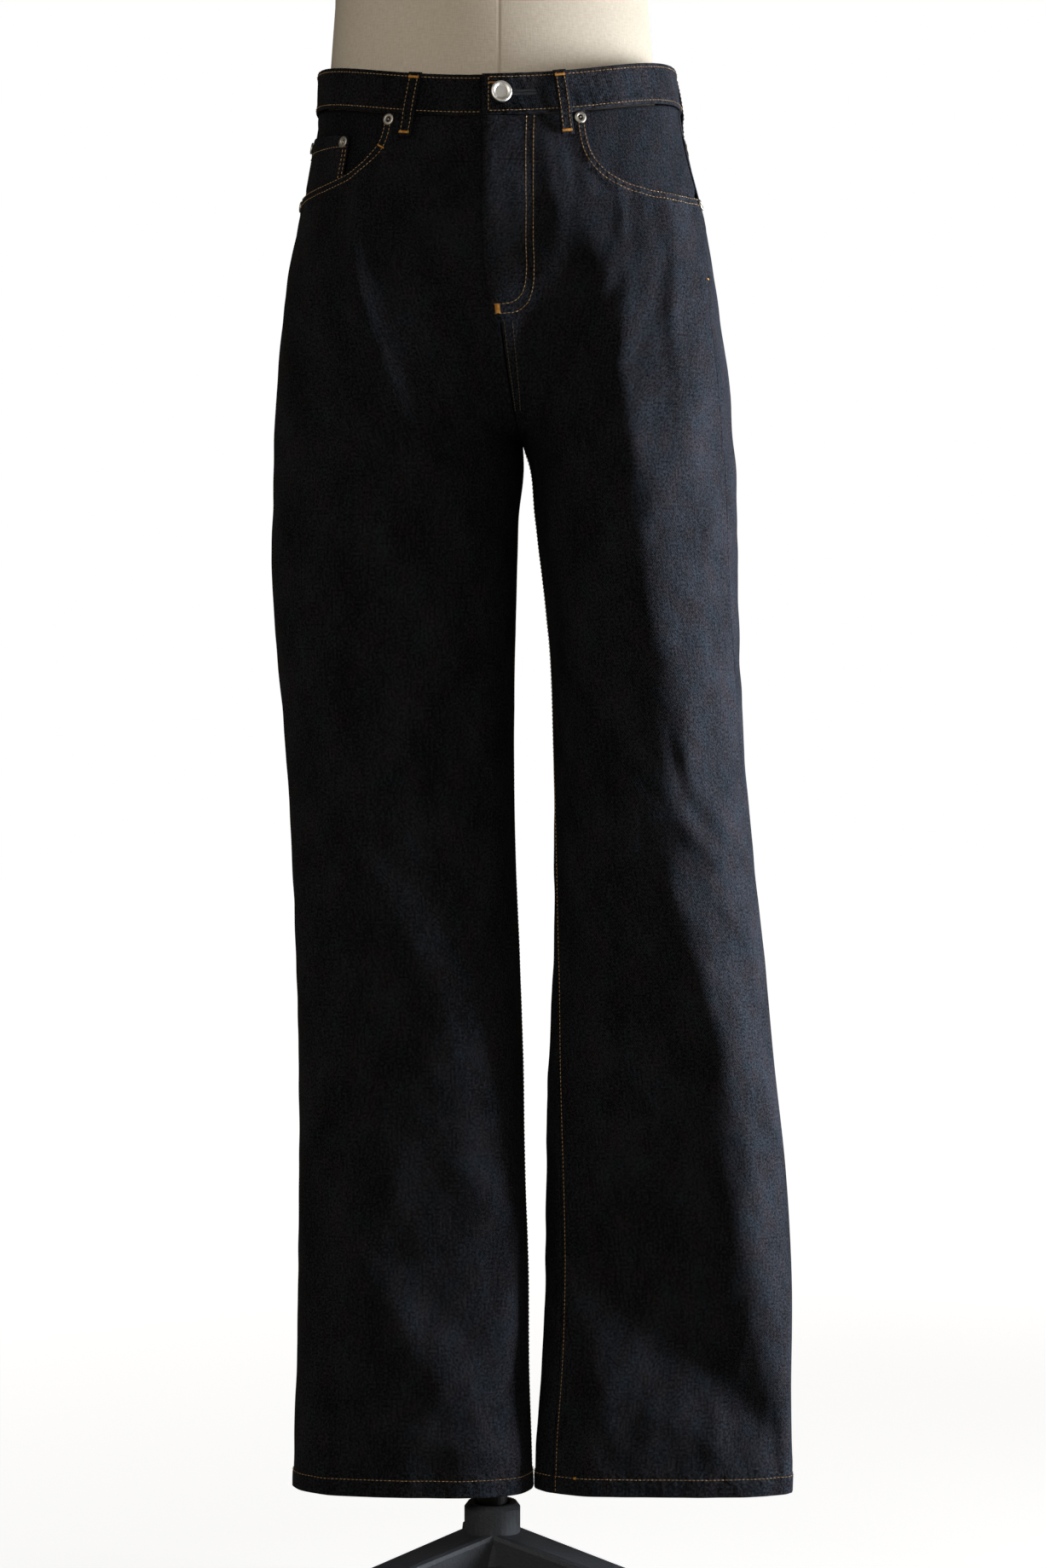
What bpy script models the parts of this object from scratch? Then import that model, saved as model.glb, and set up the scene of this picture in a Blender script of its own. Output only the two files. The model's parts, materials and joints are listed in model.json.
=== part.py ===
"""Relaxed fit jeans worn by a limbless dress form on a three-legged cast stand.

Metres, +Z up, floor at Z = 0. The jeans face -Y. "right" and "left" are the wearer's, so right is -X.
The garment is one smooth surface for each half, cloth_points(side, u, v):
u runs round the leg, 0 at the centre front or inseam, 0.5 at the outseam, 1 at the centre back or inseam;
v runs down, 0 at the waist seam and 1 at the hem. Every sewn piece is a patch of it, moved in or out.
"""

import math

import bmesh
import bpy
import numpy as np
from mathutils import Matrix, Vector

# Cut and cloth
WAIST_SEAM = 1.278
HEM = 0.155
LENGTH = WAIST_SEAM - HEM
CROTCH = 1.012
CLOTH = 0.0015
SEAM_GAP = 0.0003
LAYER_GAP = 0.0010
UNDER_GAP = 0.0012
TRIM_GAP = 0.0004
HALVES_APART = 0.0005
PANEL_COLUMNS = 15
HEM_TURN = 0.014
HEM_THICK = 0.0024
WAIST_DIP = 0.024
DIP_POWER = 2.4
DIP_FADES_AT = 0.16
FRONT_RISE_CURVE = 0.115
BACK_RISE_CURVE = 0.120
RISE_POWER = 2.2
CORNER_REACH = 0.11
SLOPE_REACH = 0.30
SLOPE_BELOW = 0.05
SLOPE_ABOVE = 0.02
FOLDS_FADE_BY = 0.07
FOLD_GIRTH = 0.52
SAMPLE_STEP = 0.0012
BODY_TO_LEG = (1.165, 0.960)
TORSO_POWER = 2.12
LEG_POWER = 2.05

# Waistband, loops and fly
BAND_HEIGHT = 0.033
BAND_OUT = 0.0012
BAND_IN = 0.0018
BAND_UNDERLAP = 0.036
BAND_OVERLAP = 0.003
BAND_STEP = 0.0036
BAND_STEP_TURNS = (0.12, 0.22)
BAND_CROWN = 0.0003
WAIST_GIRTH = 0.83
LOOP_WIDTH = 0.0115
LOOP_BELOW_SEAM = 0.019
LOOP_CLOTH = 0.0016
LOOP_GAP = 0.0006
LOOP_ARCH = 0.0022
LOOP_OVER_BAND = 0.0004
LOOP_STEP = 0.006
FLY_WIDTH = 0.031
FLY_LENGTH = 0.176
FLY_STEP = 0.0023
FLY_SOFT = 0.008

# Front pocket openings: where each leaves the waist seam, its depth, and how square its corner is
SCOOPS = {"right": (0.183, 0.069, 2.7), "left": (0.170, 0.075, 3.4)}
# A front's columns: shares of the way to the opening, then shares from there to the outseam
COLUMNS_BESIDE_FLY = np.array([0.0, 0.03, 0.10, 0.24, 0.46, 0.74])
COLUMNS_UNDER_SCOOP = np.array([
    0.0, 0.012, 0.04, 0.09, 0.16, 0.26, 0.39, 0.54, 0.70, 0.84, 0.93, 0.975, 0.992, 1.0,
])
# Rows of a front from the pocket opening down: where they join the fly's rows, then the fly's, in metres down
JOIN_AT = 0.105
FLY_ROWS = np.array([0.122, 0.138, 0.150, 0.161, 0.172, 0.182])
# How much closer together a back's columns are at its seams, and a leg's rows at the crotch
SEAM_CROWDING = 0.82
CROTCH_CROWDING = 1.7

# Belt loops: place, middle and lean in turns round the waist, from the centre front over the left side,
# and the metres to a turn there
LOOPS = (
    ("front_left", 0.0632, 0.0056, 0.90),
    ("side_left", 0.300, 0.000, 0.86),
    ("centre_back", 0.500, 0.000, 1.22),
    ("side_right", 0.700, 0.000, 0.83),
    ("front_right", 0.9357, -0.0094, 0.92),
)

# How far the left front lies over the right one: distance below the waist seam, overlap
FLY_OVER = np.array([(0.000, 0.003), (0.060, 0.004), (0.130, 0.007), (0.158, 0.005), (0.172, 0.000)])
FRONT_METRES_A_TURN = 0.47

# Pockets and yokes
FACING_DROP = 0.0175
FACING_UNDER = 0.012
FACING_RISES = (0.36, 0.022)
COIN_LAYER = (0.003, 0.016)
COIN_TOP = 0.021
COIN_START = 0.272
COIN_CLOTH = 0.0012
POCKET_CLOTH = 0.0014
POCKET_WIDTH = 0.150
POCKET_HEIGHT = 0.158
POCKET_POINT = 0.026
# Back pockets: the middle's u, and the metres to a turn of u there
POCKETS = {"right": (0.781, 0.537), "left": (0.801, 0.627)}
POCKET_NARROWING = 0.10
POCKET_BELOW_YOKE = 0.014
YOKE_AT_SIDE = 0.034
YOKE_AT_BACK = 0.072

# Metal
RIVET_RADIUS = 0.0047
RIVET_HEIGHT = 0.0022
RIVET_IN = 0.0055
SCOOP_RIVET_IN = 0.010
SIDE_RIVET_U = (0.484, 0.486)
COIN_RIVET_IN = 0.014
BUTTON_RADIUS = 0.0085
BUTTON_HEIGHT = 0.0036
BUTTON_TURN = 0.0095
BUTTON_UP_BAND = 0.52

# Dress form and stand, about the pole's axis
POLE_X = -0.0042
POLE_RADIUS = 0.0125
HUB_RADIUS = 0.0230
HUB_TOP = 0.1420
HUB_SEAT = 0.1240
HUB_FOOT = 0.0820
LEG_TOP_AT_HUB = 0.1220
LEG_REACH = 0.280
LEG_DROP = 0.24
LEG_WIDTH_HUB = 0.042
LEG_WIDTH_TIP = 0.028
LEG_DEPTH_HUB = 0.030
LEG_DEPTH_TIP = 0.020
LEG_ANGLES = (-23.0, 97.0, 217.0)
FOOT_RADIUS = 0.021
NECK_PLATE = 0.009
FORM_TURN = math.radians(8.0)
FORM_SIDES = 36

# The row's origin is the middle of the box on the floor, and the feet set that box.
FEET_X = [LEG_REACH * math.cos(math.radians(a)) for a in LEG_ANGLES]
FEET_Y = [LEG_REACH * math.sin(math.radians(a)) for a in LEG_ANGLES]
POLE_AXIS = Vector((-(min(FEET_X) + max(FEET_X)) / 2, -(min(FEET_Y) + max(FEET_Y)) / 2, 0.0))
AXIS = POLE_AXIS - Vector((POLE_X, 0.0, 0.0))

# Body of the jeans, from its own axis: height, right side, left side, centre line, front, back
BODY = np.array([
    (1.311, -0.1455, 0.1445, 0.0010, -0.1060, 0.1040),
    (1.278, -0.1468, 0.1490, 0.0010, -0.1080, 0.1080),
    (1.243, -0.1527, 0.1550, 0.0020, -0.1120, 0.1175),
    (1.215, -0.1576, 0.1625, 0.0030, -0.1150, 0.1265),
    (1.187, -0.1618, 0.1696, 0.0045, -0.1175, 0.1345),
    (1.159, -0.1660, 0.1738, 0.0065, -0.1190, 0.1385),
    (1.131, -0.1695, 0.1790, 0.0085, -0.1200, 0.1395),
    (1.103, -0.1737, 0.1822, 0.0105, -0.1200, 0.1380),
    (1.075, -0.1779, 0.1871, 0.0130, -0.1190, 0.1345),
    (1.047, -0.1807, 0.1906, 0.0160, -0.1170, 0.1300),
    (1.012, -0.1837, 0.1930, 0.0195, -0.1130, 0.1230),
    (0.960, -0.1854, 0.1958, 0.0220, -0.1060, 0.1130),
])

# Legs: height, right outer, right inner, left inner, left outer, girth, middle from front to back
LEGS = np.array([
    (1.180, -0.1630, 0.0050, 0.0050, 0.1705, 0.640, 0.0120),
    (1.103, -0.1737, 0.0105, 0.0105, 0.1822, 0.640, 0.0120),
    (1.047, -0.1807, 0.0160, 0.0160, 0.1906, 0.635, 0.0110),
    (1.012, -0.1837, 0.0195, 0.0195, 0.1930, 0.628, 0.0100),
    (0.991, -0.1842, 0.0205, 0.0265, 0.1947, 0.620, 0.0090),
    (0.949, -0.1856, 0.0165, 0.0312, 0.1961, 0.602, 0.0070),
    (0.893, -0.1849, 0.0151, 0.0381, 0.1968, 0.577, 0.0050),
    (0.838, -0.1814, 0.0137, 0.0437, 0.1982, 0.555, 0.0040),
    (0.754, -0.1737, 0.0130, 0.0465, 0.2017, 0.522, 0.0030),
    (0.670, -0.1688, 0.0144, 0.0472, 0.2087, 0.503, 0.0020),
    (0.586, -0.1646, 0.0179, 0.0458, 0.2178, 0.494, 0.0010),
    (0.502, -0.1618, 0.0207, 0.0423, 0.2255, 0.489, 0.0000),
    (0.418, -0.1618, 0.0221, 0.0402, 0.2346, 0.486, 0.0000),
    (0.334, -0.1625, 0.0249, 0.0395, 0.2395, 0.485, 0.0000),
    (0.250, -0.1639, 0.0256, 0.0361, 0.2402, 0.485, 0.0000),
    (0.194, -0.1660, 0.0275, 0.0318, 0.2409, 0.486, 0.0000),
    (0.150, -0.1660, 0.0288, 0.0314, 0.2395, 0.486, 0.0000),
])

# How far each seam has turned round the leg, as a share of the girth:
# height, right out, right in, left out, left in
TWIST = np.array([
    (1.311, 0.000, 0.000, -0.030, 0.000),
    (1.190, 0.000, 0.000, -0.046, 0.000),
    (1.120, 0.010, 0.000, -0.090, 0.000),
    (1.060, 0.016, 0.000, -0.090, 0.000),
    (1.012, 0.020, 0.000, -0.082, 0.000),
    (0.850, 0.020, 0.000, -0.066, 0.006),
    (0.700, 0.015, -0.004, -0.028, 0.034),
    (0.500, 0.005, -0.008, -0.005, 0.077),
    (0.300, 0.000, -0.008, 0.000, 0.091),
    (0.150, 0.000, -0.004, 0.000, 0.089),
])

# Largest folds, in metres, a trough is negative:
# side, start u, start height, end u, end height, half width, rise
FOLDS = (
    ("right", 0.182, 1.200, 0.176, 0.750, 0.022, 0.0045),
    ("right", 0.345, 0.712, 0.208, 0.580, 0.022, 0.0060),
    ("right", 0.235, 0.625, 0.162, 0.440, 0.024, 0.0055),
    ("right", 0.360, 0.650, 0.235, 0.500, 0.026, -0.0045),
    ("right", 0.168, 0.510, 0.238, 0.330, 0.024, 0.0030),
    ("right", 0.360, 0.390, 0.180, 0.200, 0.022, 0.0055),
    ("right", 0.370, 0.320, 0.250, 0.215, 0.020, -0.0035),
    ("right", 0.310, 0.205, 0.070, 0.172, 0.014, 0.0030),
    ("right", 0.400, 1.060, 0.380, 0.780, 0.026, 0.0035),
    ("left", 0.072, 1.220, 0.086, 1.060, 0.013, 0.0030),
    ("left", 0.118, 1.210, 0.168, 1.020, 0.016, -0.0040),
    ("left", 0.155, 1.190, 0.272, 0.980, 0.024, 0.0050),
    ("left", 0.262, 1.010, 0.300, 0.690, 0.028, 0.0050),
    ("left", 0.270, 0.770, 0.420, 0.680, 0.014, 0.0035),
    ("left", 0.280, 0.745, 0.410, 0.655, 0.012, -0.0040),
    ("left", 0.258, 0.665, 0.338, 0.490, 0.022, 0.0055),
    ("left", 0.330, 0.540, 0.336, 0.390, 0.022, 0.0050),
    ("left", 0.266, 0.365, 0.385, 0.212, 0.018, 0.0050),
    ("left", 0.020, 0.395, 0.155, 0.278, 0.020, -0.0040),
    ("left", 0.110, 0.308, 0.338, 0.192, 0.019, -0.0050),
    ("left", 0.050, 0.305, 0.210, 0.210, 0.022, 0.0035),
    ("right", 0.690, 1.030, 0.760, 0.860, 0.024, -0.0060),
    ("right", 0.820, 1.000, 0.700, 0.800, 0.024, 0.0050),
    ("right", 0.640, 0.760, 0.800, 0.640, 0.022, -0.0050),
    ("right", 0.620, 0.690, 0.780, 0.560, 0.020, 0.0045),
    ("right", 0.660, 0.480, 0.800, 0.330, 0.024, 0.0045),
    ("left", 0.700, 1.035, 0.780, 0.870, 0.024, -0.0060),
    ("left", 0.830, 0.980, 0.720, 0.790, 0.024, 0.0050),
    ("left", 0.650, 0.740, 0.810, 0.620, 0.022, -0.0050),
    ("left", 0.790, 0.600, 0.640, 0.500, 0.020, 0.0045),
    ("left", 0.780, 0.420, 0.660, 0.280, 0.024, 0.0045),
)

# Dress form: height, half width, front, back
FORM = np.array([
    (1.098, 0.1180, -0.0760, 0.0900),
    (1.101, 0.1370, -0.0880, 0.1060),
    (1.112, 0.1480, -0.0960, 0.1180),
    (1.132, 0.1562, -0.1000, 0.1310),
    (1.155, 0.1568, -0.1010, 0.1352),
    (1.175, 0.1530, -0.1000, 0.1330),
    (1.195, 0.1465, -0.0980, 0.1270),
    (1.230, 0.1390, -0.0950, 0.1150),
    (1.270, 0.1345, -0.0920, 0.1040),
    (1.310, 0.1325, -0.0900, 0.0960),
    (1.365, 0.1285, -0.0890, 0.0910),
    (1.420, 0.1280, -0.0900, 0.0890),
    (1.480, 0.1310, -0.0980, 0.0930),
    (1.550, 0.1450, -0.1100, 0.1010),
    (1.620, 0.1590, -0.1160, 0.1080),
    (1.680, 0.1690, -0.1120, 0.1080),
    (1.725, 0.1760, -0.0980, 0.1000),
    (1.750, 0.1720, -0.0860, 0.0920),
    (1.768, 0.1530, -0.0760, 0.0850),
    (1.782, 0.1230, -0.0690, 0.0780),
    (1.796, 0.0930, -0.0640, 0.0710),
    (1.815, 0.0720, -0.0600, 0.0650),
    (1.840, 0.0620, -0.0570, 0.0600),
    (1.875, 0.0590, -0.0550, 0.0580),
])

SIDES = {"right": -1.0, "left": 1.0}


def smooth_column(table, column, height):
    """A column of a table read at any height: a cubic through the rows, with each row's own slope."""
    order = np.argsort(table[:, 0])
    rows, values = table[order, 0], table[order, column]
    slopes = np.gradient(values, rows)
    height = np.clip(height, rows[0], rows[-1])
    i = np.clip(np.searchsorted(rows, height) - 1, 0, len(rows) - 2)
    step = rows[i + 1] - rows[i]
    t = (height - rows[i]) / step
    return (
        values[i] * (1 + 2 * t) * (1 - t) ** 2
        + slopes[i] * step * t * (1 - t) ** 2
        + values[i + 1] * t * t * (3 - 2 * t)
        - slopes[i + 1] * step * t * t * (1 - t)
    )


def ease(t):
    """0 below 0, 1 above 1, and a smooth S between."""
    t = np.clip(t, 0.0, 1.0)
    return t * t * (3 - 2 * t)


def rounded(value, power):
    """A sine or cosine sharpened so that an ellipse of it bulges at its corners."""
    return np.sign(value) * np.abs(value) ** (2.0 / power)


def depth_of(width, girth):
    """The depth of an oval tube of that width whose girth is what the cloth was cut to."""
    return np.sqrt(np.maximum(2 * (girth / math.pi) ** 2 - width**2, 0.046**2))


def body_oval(side, u, height):
    """One half of the body's section, from the centre front round the side to the centre back."""
    centre = smooth_column(BODY, 3, height)
    side_x = smooth_column(BODY, 1 if side == "right" else 2, height)
    front, back = smooth_column(BODY, 4, height), smooth_column(BODY, 5, height)
    angle = math.pi * u
    reach = np.where(u < 0.5, -front, back)
    x = centre + (side_x - centre) * rounded(np.sin(angle), TORSO_POWER)
    y = -reach * rounded(np.cos(angle), TORSO_POWER)
    return x, y


def leg_oval(side, u, height):
    """A leg's whole section, from the inseam round the front, the outseam and the back to the inseam."""
    outer, inner = (1, 2) if side == "right" else (4, 3)
    outer_x, inner_x = smooth_column(LEGS, outer, height), smooth_column(LEGS, inner, height)
    girth, middle = smooth_column(LEGS, 5, height), smooth_column(LEGS, 6, height)
    half_depth = depth_of(np.abs(outer_x - inner_x), girth) / 2
    angle = 2 * math.pi * u
    x = (outer_x + inner_x) / 2 + (inner_x - outer_x) / 2 * rounded(np.cos(angle), LEG_POWER)
    y = middle - half_depth * rounded(np.sin(angle), LEG_POWER)
    return x, y


def rise_share(u, height):
    """How far the cloth near the rise has turned under the body: a round corner at the seam itself,
    1 at the crotch and 0 where the curve begins, and a soft slope a hand's width from it."""
    curve = np.where(u < 0.5, FRONT_RISE_CURVE, BACK_RISE_CURVE)
    s = np.clip((height - CROTCH) / curve, 0.0, 1.0)
    round_corner = 1 - (1 - (1 - s) ** RISE_POWER) ** (1 / RISE_POWER)
    slope = 1 - ease((height - CROTCH + SLOPE_BELOW) / (curve + SLOPE_BELOW + SLOPE_ABOVE))
    return slope + (round_corner - slope) * (1 - ease(np.minimum(u, 1 - u) / CORNER_REACH))


def bare_points(side, u, height):
    """The smooth garment before any fold: the body's oval above and the leg's below, blended between."""
    turned_out, turned_in = (1, 2) if side == "right" else (3, 4)
    shift_out = smooth_column(TWIST, turned_out, height)
    shift_in = smooth_column(TWIST, turned_in, height)
    turn = shift_in * np.cos(math.pi * u) ** 2 + shift_out * np.sin(math.pi * u) ** 2
    leg_u = u + turn
    body_u = u + shift_out * np.sin(math.pi * u) ** 2
    body_x, body_y = body_oval(side, body_u, height)
    leg_x, leg_y = leg_oval(side, leg_u, height)
    outer_share = ease((BODY_TO_LEG[0] - height) / (BODY_TO_LEG[0] - BODY_TO_LEG[1]))
    nearness = 1 - ease(np.minimum(u, 1 - u) / SLOPE_REACH)
    share = outer_share + (rise_share(u, height) - outer_share) * nearness
    x = body_x + (leg_x - body_x) * share
    y = body_y + (leg_y - body_y) * share
    v = (WAIST_SEAM - height) / LENGTH
    dip = WAIST_DIP * (1 - ease(v / DIP_FADES_AT))
    depth = np.where(y < 0, -smooth_column(BODY, 4, height), smooth_column(BODY, 5, height))
    z = height + dip * np.sign(y) * np.abs(y / depth) ** DIP_POWER
    return np.stack([x + SIDES[side] * HALVES_APART / 2, y, z], axis=-1)


def relief(side, u, height):
    """How far the folds lift the cloth: each is a soft ridge or trough along a line, tapering at its ends."""
    girth = smooth_column(LEGS, 5, height)
    lift = np.zeros(np.broadcast(u, height).shape)
    for fold_side, u0, h0, u1, h1, half_width, rise in FOLDS:
        if fold_side != side:
            continue
        across = np.stack([(u - u0) * girth, height - h0 + 0 * u], axis=-1)
        along = np.array([(u1 - u0) * FOLD_GIRTH, h1 - h0])
        length = np.linalg.norm(along)
        t = across @ along / length**2
        away = np.abs(across[..., 0] * along[1] - across[..., 1] * along[0]) / length
        taper = np.clip(1 - (2 * t - 1) ** 2, 0, 1)
        lift = lift + rise * taper * np.exp(-((away / half_width) ** 2))
    return lift


def normals_of(points, side, u, height):
    """Unit normals out of the cloth, from small steps of points(side, u, height)."""
    step = SAMPLE_STEP
    along_u = points(side, u + step, height) - points(side, u - step, height)
    down = points(side, u, height - step) - points(side, u, height + step)
    normal = SIDES[side] * np.cross(down, along_u)
    return normal / np.linalg.norm(normal, axis=-1, keepdims=True)


def folded_points(side, u, height):
    """The garment with its folds, which fade out at the rise and the inseam so that the seams still meet."""
    base = bare_points(side, u, height)
    fade = ease(np.minimum(u, 1 - u) / FOLDS_FADE_BY)
    lift = relief(side, u, height) * fade
    return base + normals_of(bare_points, side, u, height) * lift[..., None]


def cloth_points(side, u, v, out=0.0):
    """Points of the garment, moved out of its surface by that many metres. u and v are arrays of one shape."""
    height = WAIST_SEAM - LENGTH * v
    surface = folded_points(side, u, height)
    lift = np.broadcast_to(out, surface.shape[:2])
    return surface + normals_of(folded_points, side, u, height) * lift[..., None]


def collection(name):
    """A collection of that name in the scene."""
    made = bpy.data.collections.new(name)
    bpy.context.scene.collection.children.link(made)
    return made


def empty(name, place):
    """An empty that the pieces about one axis are parented to."""
    made = bpy.data.objects.new(name, None)
    made.location = place
    bpy.context.scene.collection.objects.link(made)
    return made


def material(name, colour, roughness, metallic=0.0):
    """A Principled material of one colour (linear), roughness and metallic value."""
    made = bpy.data.materials.new(name)
    made.use_nodes = True
    shader = made.node_tree.nodes["Principled BSDF"]
    shader.inputs["Base Color"].default_value = (*colour, 1.0)
    shader.inputs["Roughness"].default_value = roughness
    shader.inputs["Metallic"].default_value = metallic
    return made


def add_object(name, mesh, finish, parent, group):
    """An object for a finished mesh, on the pole's axis, with its material and smooth shading."""
    made = bpy.data.objects.new(name, mesh)
    mesh.materials.append(finish)
    mesh.shade_smooth()
    mesh.set_sharp_from_angle(angle=math.radians(40))
    made.parent = parent
    group.objects.link(made)
    return made


def shell(name, points, thickness, finish, parent, group, side="left"):
    """A cloth wall: an open grid of its outer face, rows down and columns round, and a Solidify inward.

    thickness is one value or a value for each point. On the right half the columns run the other way round,
    so its faces are wound the other way.
    """
    rows, across = points.shape[:2]
    index = np.arange(rows * across).reshape(rows, across)
    a, b, c, d = index[:-1, :-1], index[:-1, 1:], index[1:, 1:], index[1:, :-1]
    wound = (a, d, c, b) if side == "left" else (a, b, c, d)
    mesh = bpy.data.meshes.new(name)
    mesh.from_pydata(points.reshape(-1, 3).tolist(), [], np.stack(wound, axis=-1).reshape(-1, 4).tolist())
    made = add_object(name, mesh, finish, parent, group)
    wall = made.modifiers.new("cloth", "SOLIDIFY")
    thickest = float(np.max(thickness))
    wall.thickness = thickest
    wall.offset = -1.0
    if np.min(thickness) < thickest:
        folded = made.vertex_groups.new(name="thickness")
        for value in np.unique(thickness):
            folded.add(index[thickness == value].tolist(), float(value) / thickest, "REPLACE")
        wall.vertex_group = folded.name
    return made


def u_gap(metres):
    """A width along the cloth as a share of a leg's girth."""
    return metres / 0.50


def drop(metres):
    """A distance down the cloth as a share of the length from the waist seam to the hem."""
    return metres / LENGTH


SEAM_U = u_gap(0.0004)
CROTCH_V = drop(WAIST_SEAM - CROTCH)
JOIN_V = drop(JOIN_AT)


def leg_rows(start, above, below):
    """Rows down a panel: closer together near the crotch, even down the leg, and two at the hem's turn."""
    rise = CROTCH_V - (CROTCH_V - start) * (1 - np.linspace(0, 1, above)) ** CROTCH_CROWDING
    leg = np.linspace(CROTCH_V, 1 - drop(HEM_TURN + 0.002), below)[1:]
    turn = 1 - drop(HEM_TURN)
    return np.concatenate([rise, leg, [turn, 1.0]])


def columns():
    """Shares of a panel's width, closer together at its seams, where a flattened leg turns sharply."""
    share = np.linspace(0, 1, PANEL_COLUMNS)
    return share - SEAM_CROWDING * np.sin(2 * math.pi * share) / (2 * math.pi)


def hem_thickness(v):
    """The wall is one cloth thick, and thicker below the hem's turn, where the cloth is folded up inside."""
    return np.where(v >= 1 - drop(HEM_TURN) - 1e-9, HEM_THICK, CLOTH)


def scoop_v(side, u):
    """How far down a front pocket's opening reaches: a quarter of a squared oval from the waist to the outseam."""
    start, depth, power = SCOOPS[side]
    share = np.clip((u - start) / (0.5 - SEAM_U - start), 0, 1)
    return drop(depth) * (1 - (1 - share) ** power) ** (1 / power)


def front_columns(side):
    """Where a front's columns run: even beside the fly, then closer where the pocket's opening turns down."""
    start = SCOOPS[side][0]
    return np.concatenate([SEAM_U + (start - SEAM_U) * COLUMNS_BESIDE_FLY, scoop_columns(side)])


def scoop_columns(side):
    """The columns from the pocket's opening to the outseam."""
    start = SCOOPS[side][0]
    return start + (0.5 - SEAM_U - start) * COLUMNS_UNDER_SCOOP


def fly_edge(side, v):
    """Where a front begins: at the centre seam, but the left front lies over the right one along the fly."""
    if side == "right":
        return np.full(v.shape, SEAM_U)
    over = np.interp(v * LENGTH, FLY_OVER[:, 0], FLY_OVER[:, 1])
    return SEAM_U - over / FRONT_METRES_A_TURN


def fly_lift(side, u, v):
    """How far the left front is raised where it covers the fly: a step at its outer row, round at the bottom."""
    if side == "right":
        return np.zeros(u.shape)
    across = u * FRONT_METRES_A_TURN
    below = np.clip((v * LENGTH - FLY_LENGTH + FLY_WIDTH) / FLY_WIDTH, 0, 1)
    width = FLY_WIDTH * np.sqrt(1 - below**2)
    within_width = ease((width + FLY_SOFT - across) / FLY_SOFT)
    within_length = ease((FLY_LENGTH + FLY_SOFT - v * LENGTH) / FLY_SOFT)
    return FLY_STEP * within_width * within_length


def front_panel(side, finish, parent, group):
    """A front: its top follows the waist seam and then the pocket's opening, and the left one covers the fly."""
    u_row = front_columns(side)
    top = np.maximum(scoop_v(side, u_row), drop(SEAM_GAP))
    upper = top + (JOIN_V - top) * np.linspace(0, 1, 6)[:, None]
    fly = drop(FLY_ROWS)
    lower = np.concatenate([fly, leg_rows(fly[-1], 7, 18)[1:]])
    v = np.concatenate([upper, np.repeat(lower[:, None], len(u_row), axis=1)])
    u = np.repeat(u_row[None, :], len(v), axis=0)
    u[:, 0] = fly_edge(side, v[:, 0])
    lift = fly_lift(side, u, v)
    points = cloth_points(side, u, v, lift)
    return shell(f"front_{side}", points, hem_thickness(v), finish, parent, group, side)


def yoke_edge(u):
    """The yoke's lower seam: shallow at the outseam, deep at the centre back."""
    return drop(YOKE_AT_SIDE + (YOKE_AT_BACK - YOKE_AT_SIDE) * (u - 0.5) / 0.5)


def back_panel(side, finish, parent, group):
    """A back: the outseam at one edge, the seat seam and inseam at the other, the yoke above."""
    v_rows = leg_rows(0.0, 13, 18)
    u_row = 0.5 + SEAM_U + (0.5 - 2 * SEAM_U) * columns()
    u = np.repeat(u_row[None, :], len(v_rows), axis=0)
    top = yoke_edge(u) + drop(SEAM_GAP)
    v = np.repeat(v_rows[:, None], u.shape[1], axis=1)
    v = np.where(v < CROTCH_V, top + (CROTCH_V - top) * v / CROTCH_V, v)
    return shell(f"back_{side}", cloth_points(side, u, v), hem_thickness(v), finish, parent, group, side)


def yoke(side, finish, parent, group):
    """The shaped strip between the waistband and a back."""
    u_row = 0.5 + SEAM_U + (0.5 - 2 * SEAM_U) * columns()
    u = np.repeat(u_row[None, :], 4, axis=0)
    v = drop(SEAM_GAP) + (yoke_edge(u) - drop(SEAM_GAP)) * np.linspace(0, 1, 4)[:, None]
    return shell(f"yoke_{side}", cloth_points(side, u, v), CLOTH, finish, parent, group, side)


def under_front(side, u, v):
    """How far a piece behind the opening lies below the surface: a layer down at the opening's edge, and
    rising to meet the back at the outseam."""
    start, above = FACING_RISES
    rise = ease((u - start) / (0.5 - start)) * ease((scoop_v(side, u) - v) / drop(above))
    return (CLOTH + UNDER_GAP) * (1 - rise)


def pocket_facing(side, finish, parent, group):
    """The denim behind a front pocket's opening, which dips a layer deeper under the coin pocket."""
    u_row = np.concatenate([[SCOOPS[side][0] - u_gap(FACING_UNDER)], scoop_columns(side)])
    bottom = scoop_v(side, u_row) + drop(FACING_DROP)
    v = drop(SEAM_GAP) + (bottom - drop(SEAM_GAP)) * np.linspace(0, 1, 8)[:, None]
    u = np.repeat(u_row[None, :], len(v), axis=0)
    depth = under_front(side, u, v)
    if side == "right":
        start, length = COIN_LAYER
        depth = depth + (COIN_CLOTH + UNDER_GAP) * ease((v - drop(start)) / drop(length))
    return shell(f"pocket_facing_{side}", cloth_points(side, u, v, -depth), CLOTH, finish, parent, group, side)


def coin_pocket(finish, parent, group):
    """The small pocket on the right facing, whose lower edge goes under the front."""
    columns = scoop_columns("right")
    u_row = np.concatenate([[COIN_START], columns[columns > COIN_START + u_gap(0.003)]])
    u_row[-1] -= SEAM_U
    bottom = scoop_v("right", u_row) + drop(FACING_DROP - 0.002)
    v = drop(COIN_TOP) + (bottom - drop(COIN_TOP)) * np.linspace(0, 1, 8)[:, None]
    u = np.repeat(u_row[None, :], len(v), axis=0)
    points = cloth_points("right", u, v, -under_front("right", u, v))
    return shell("coin_pocket", points, COIN_CLOTH, finish, parent, group, "right")


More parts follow.
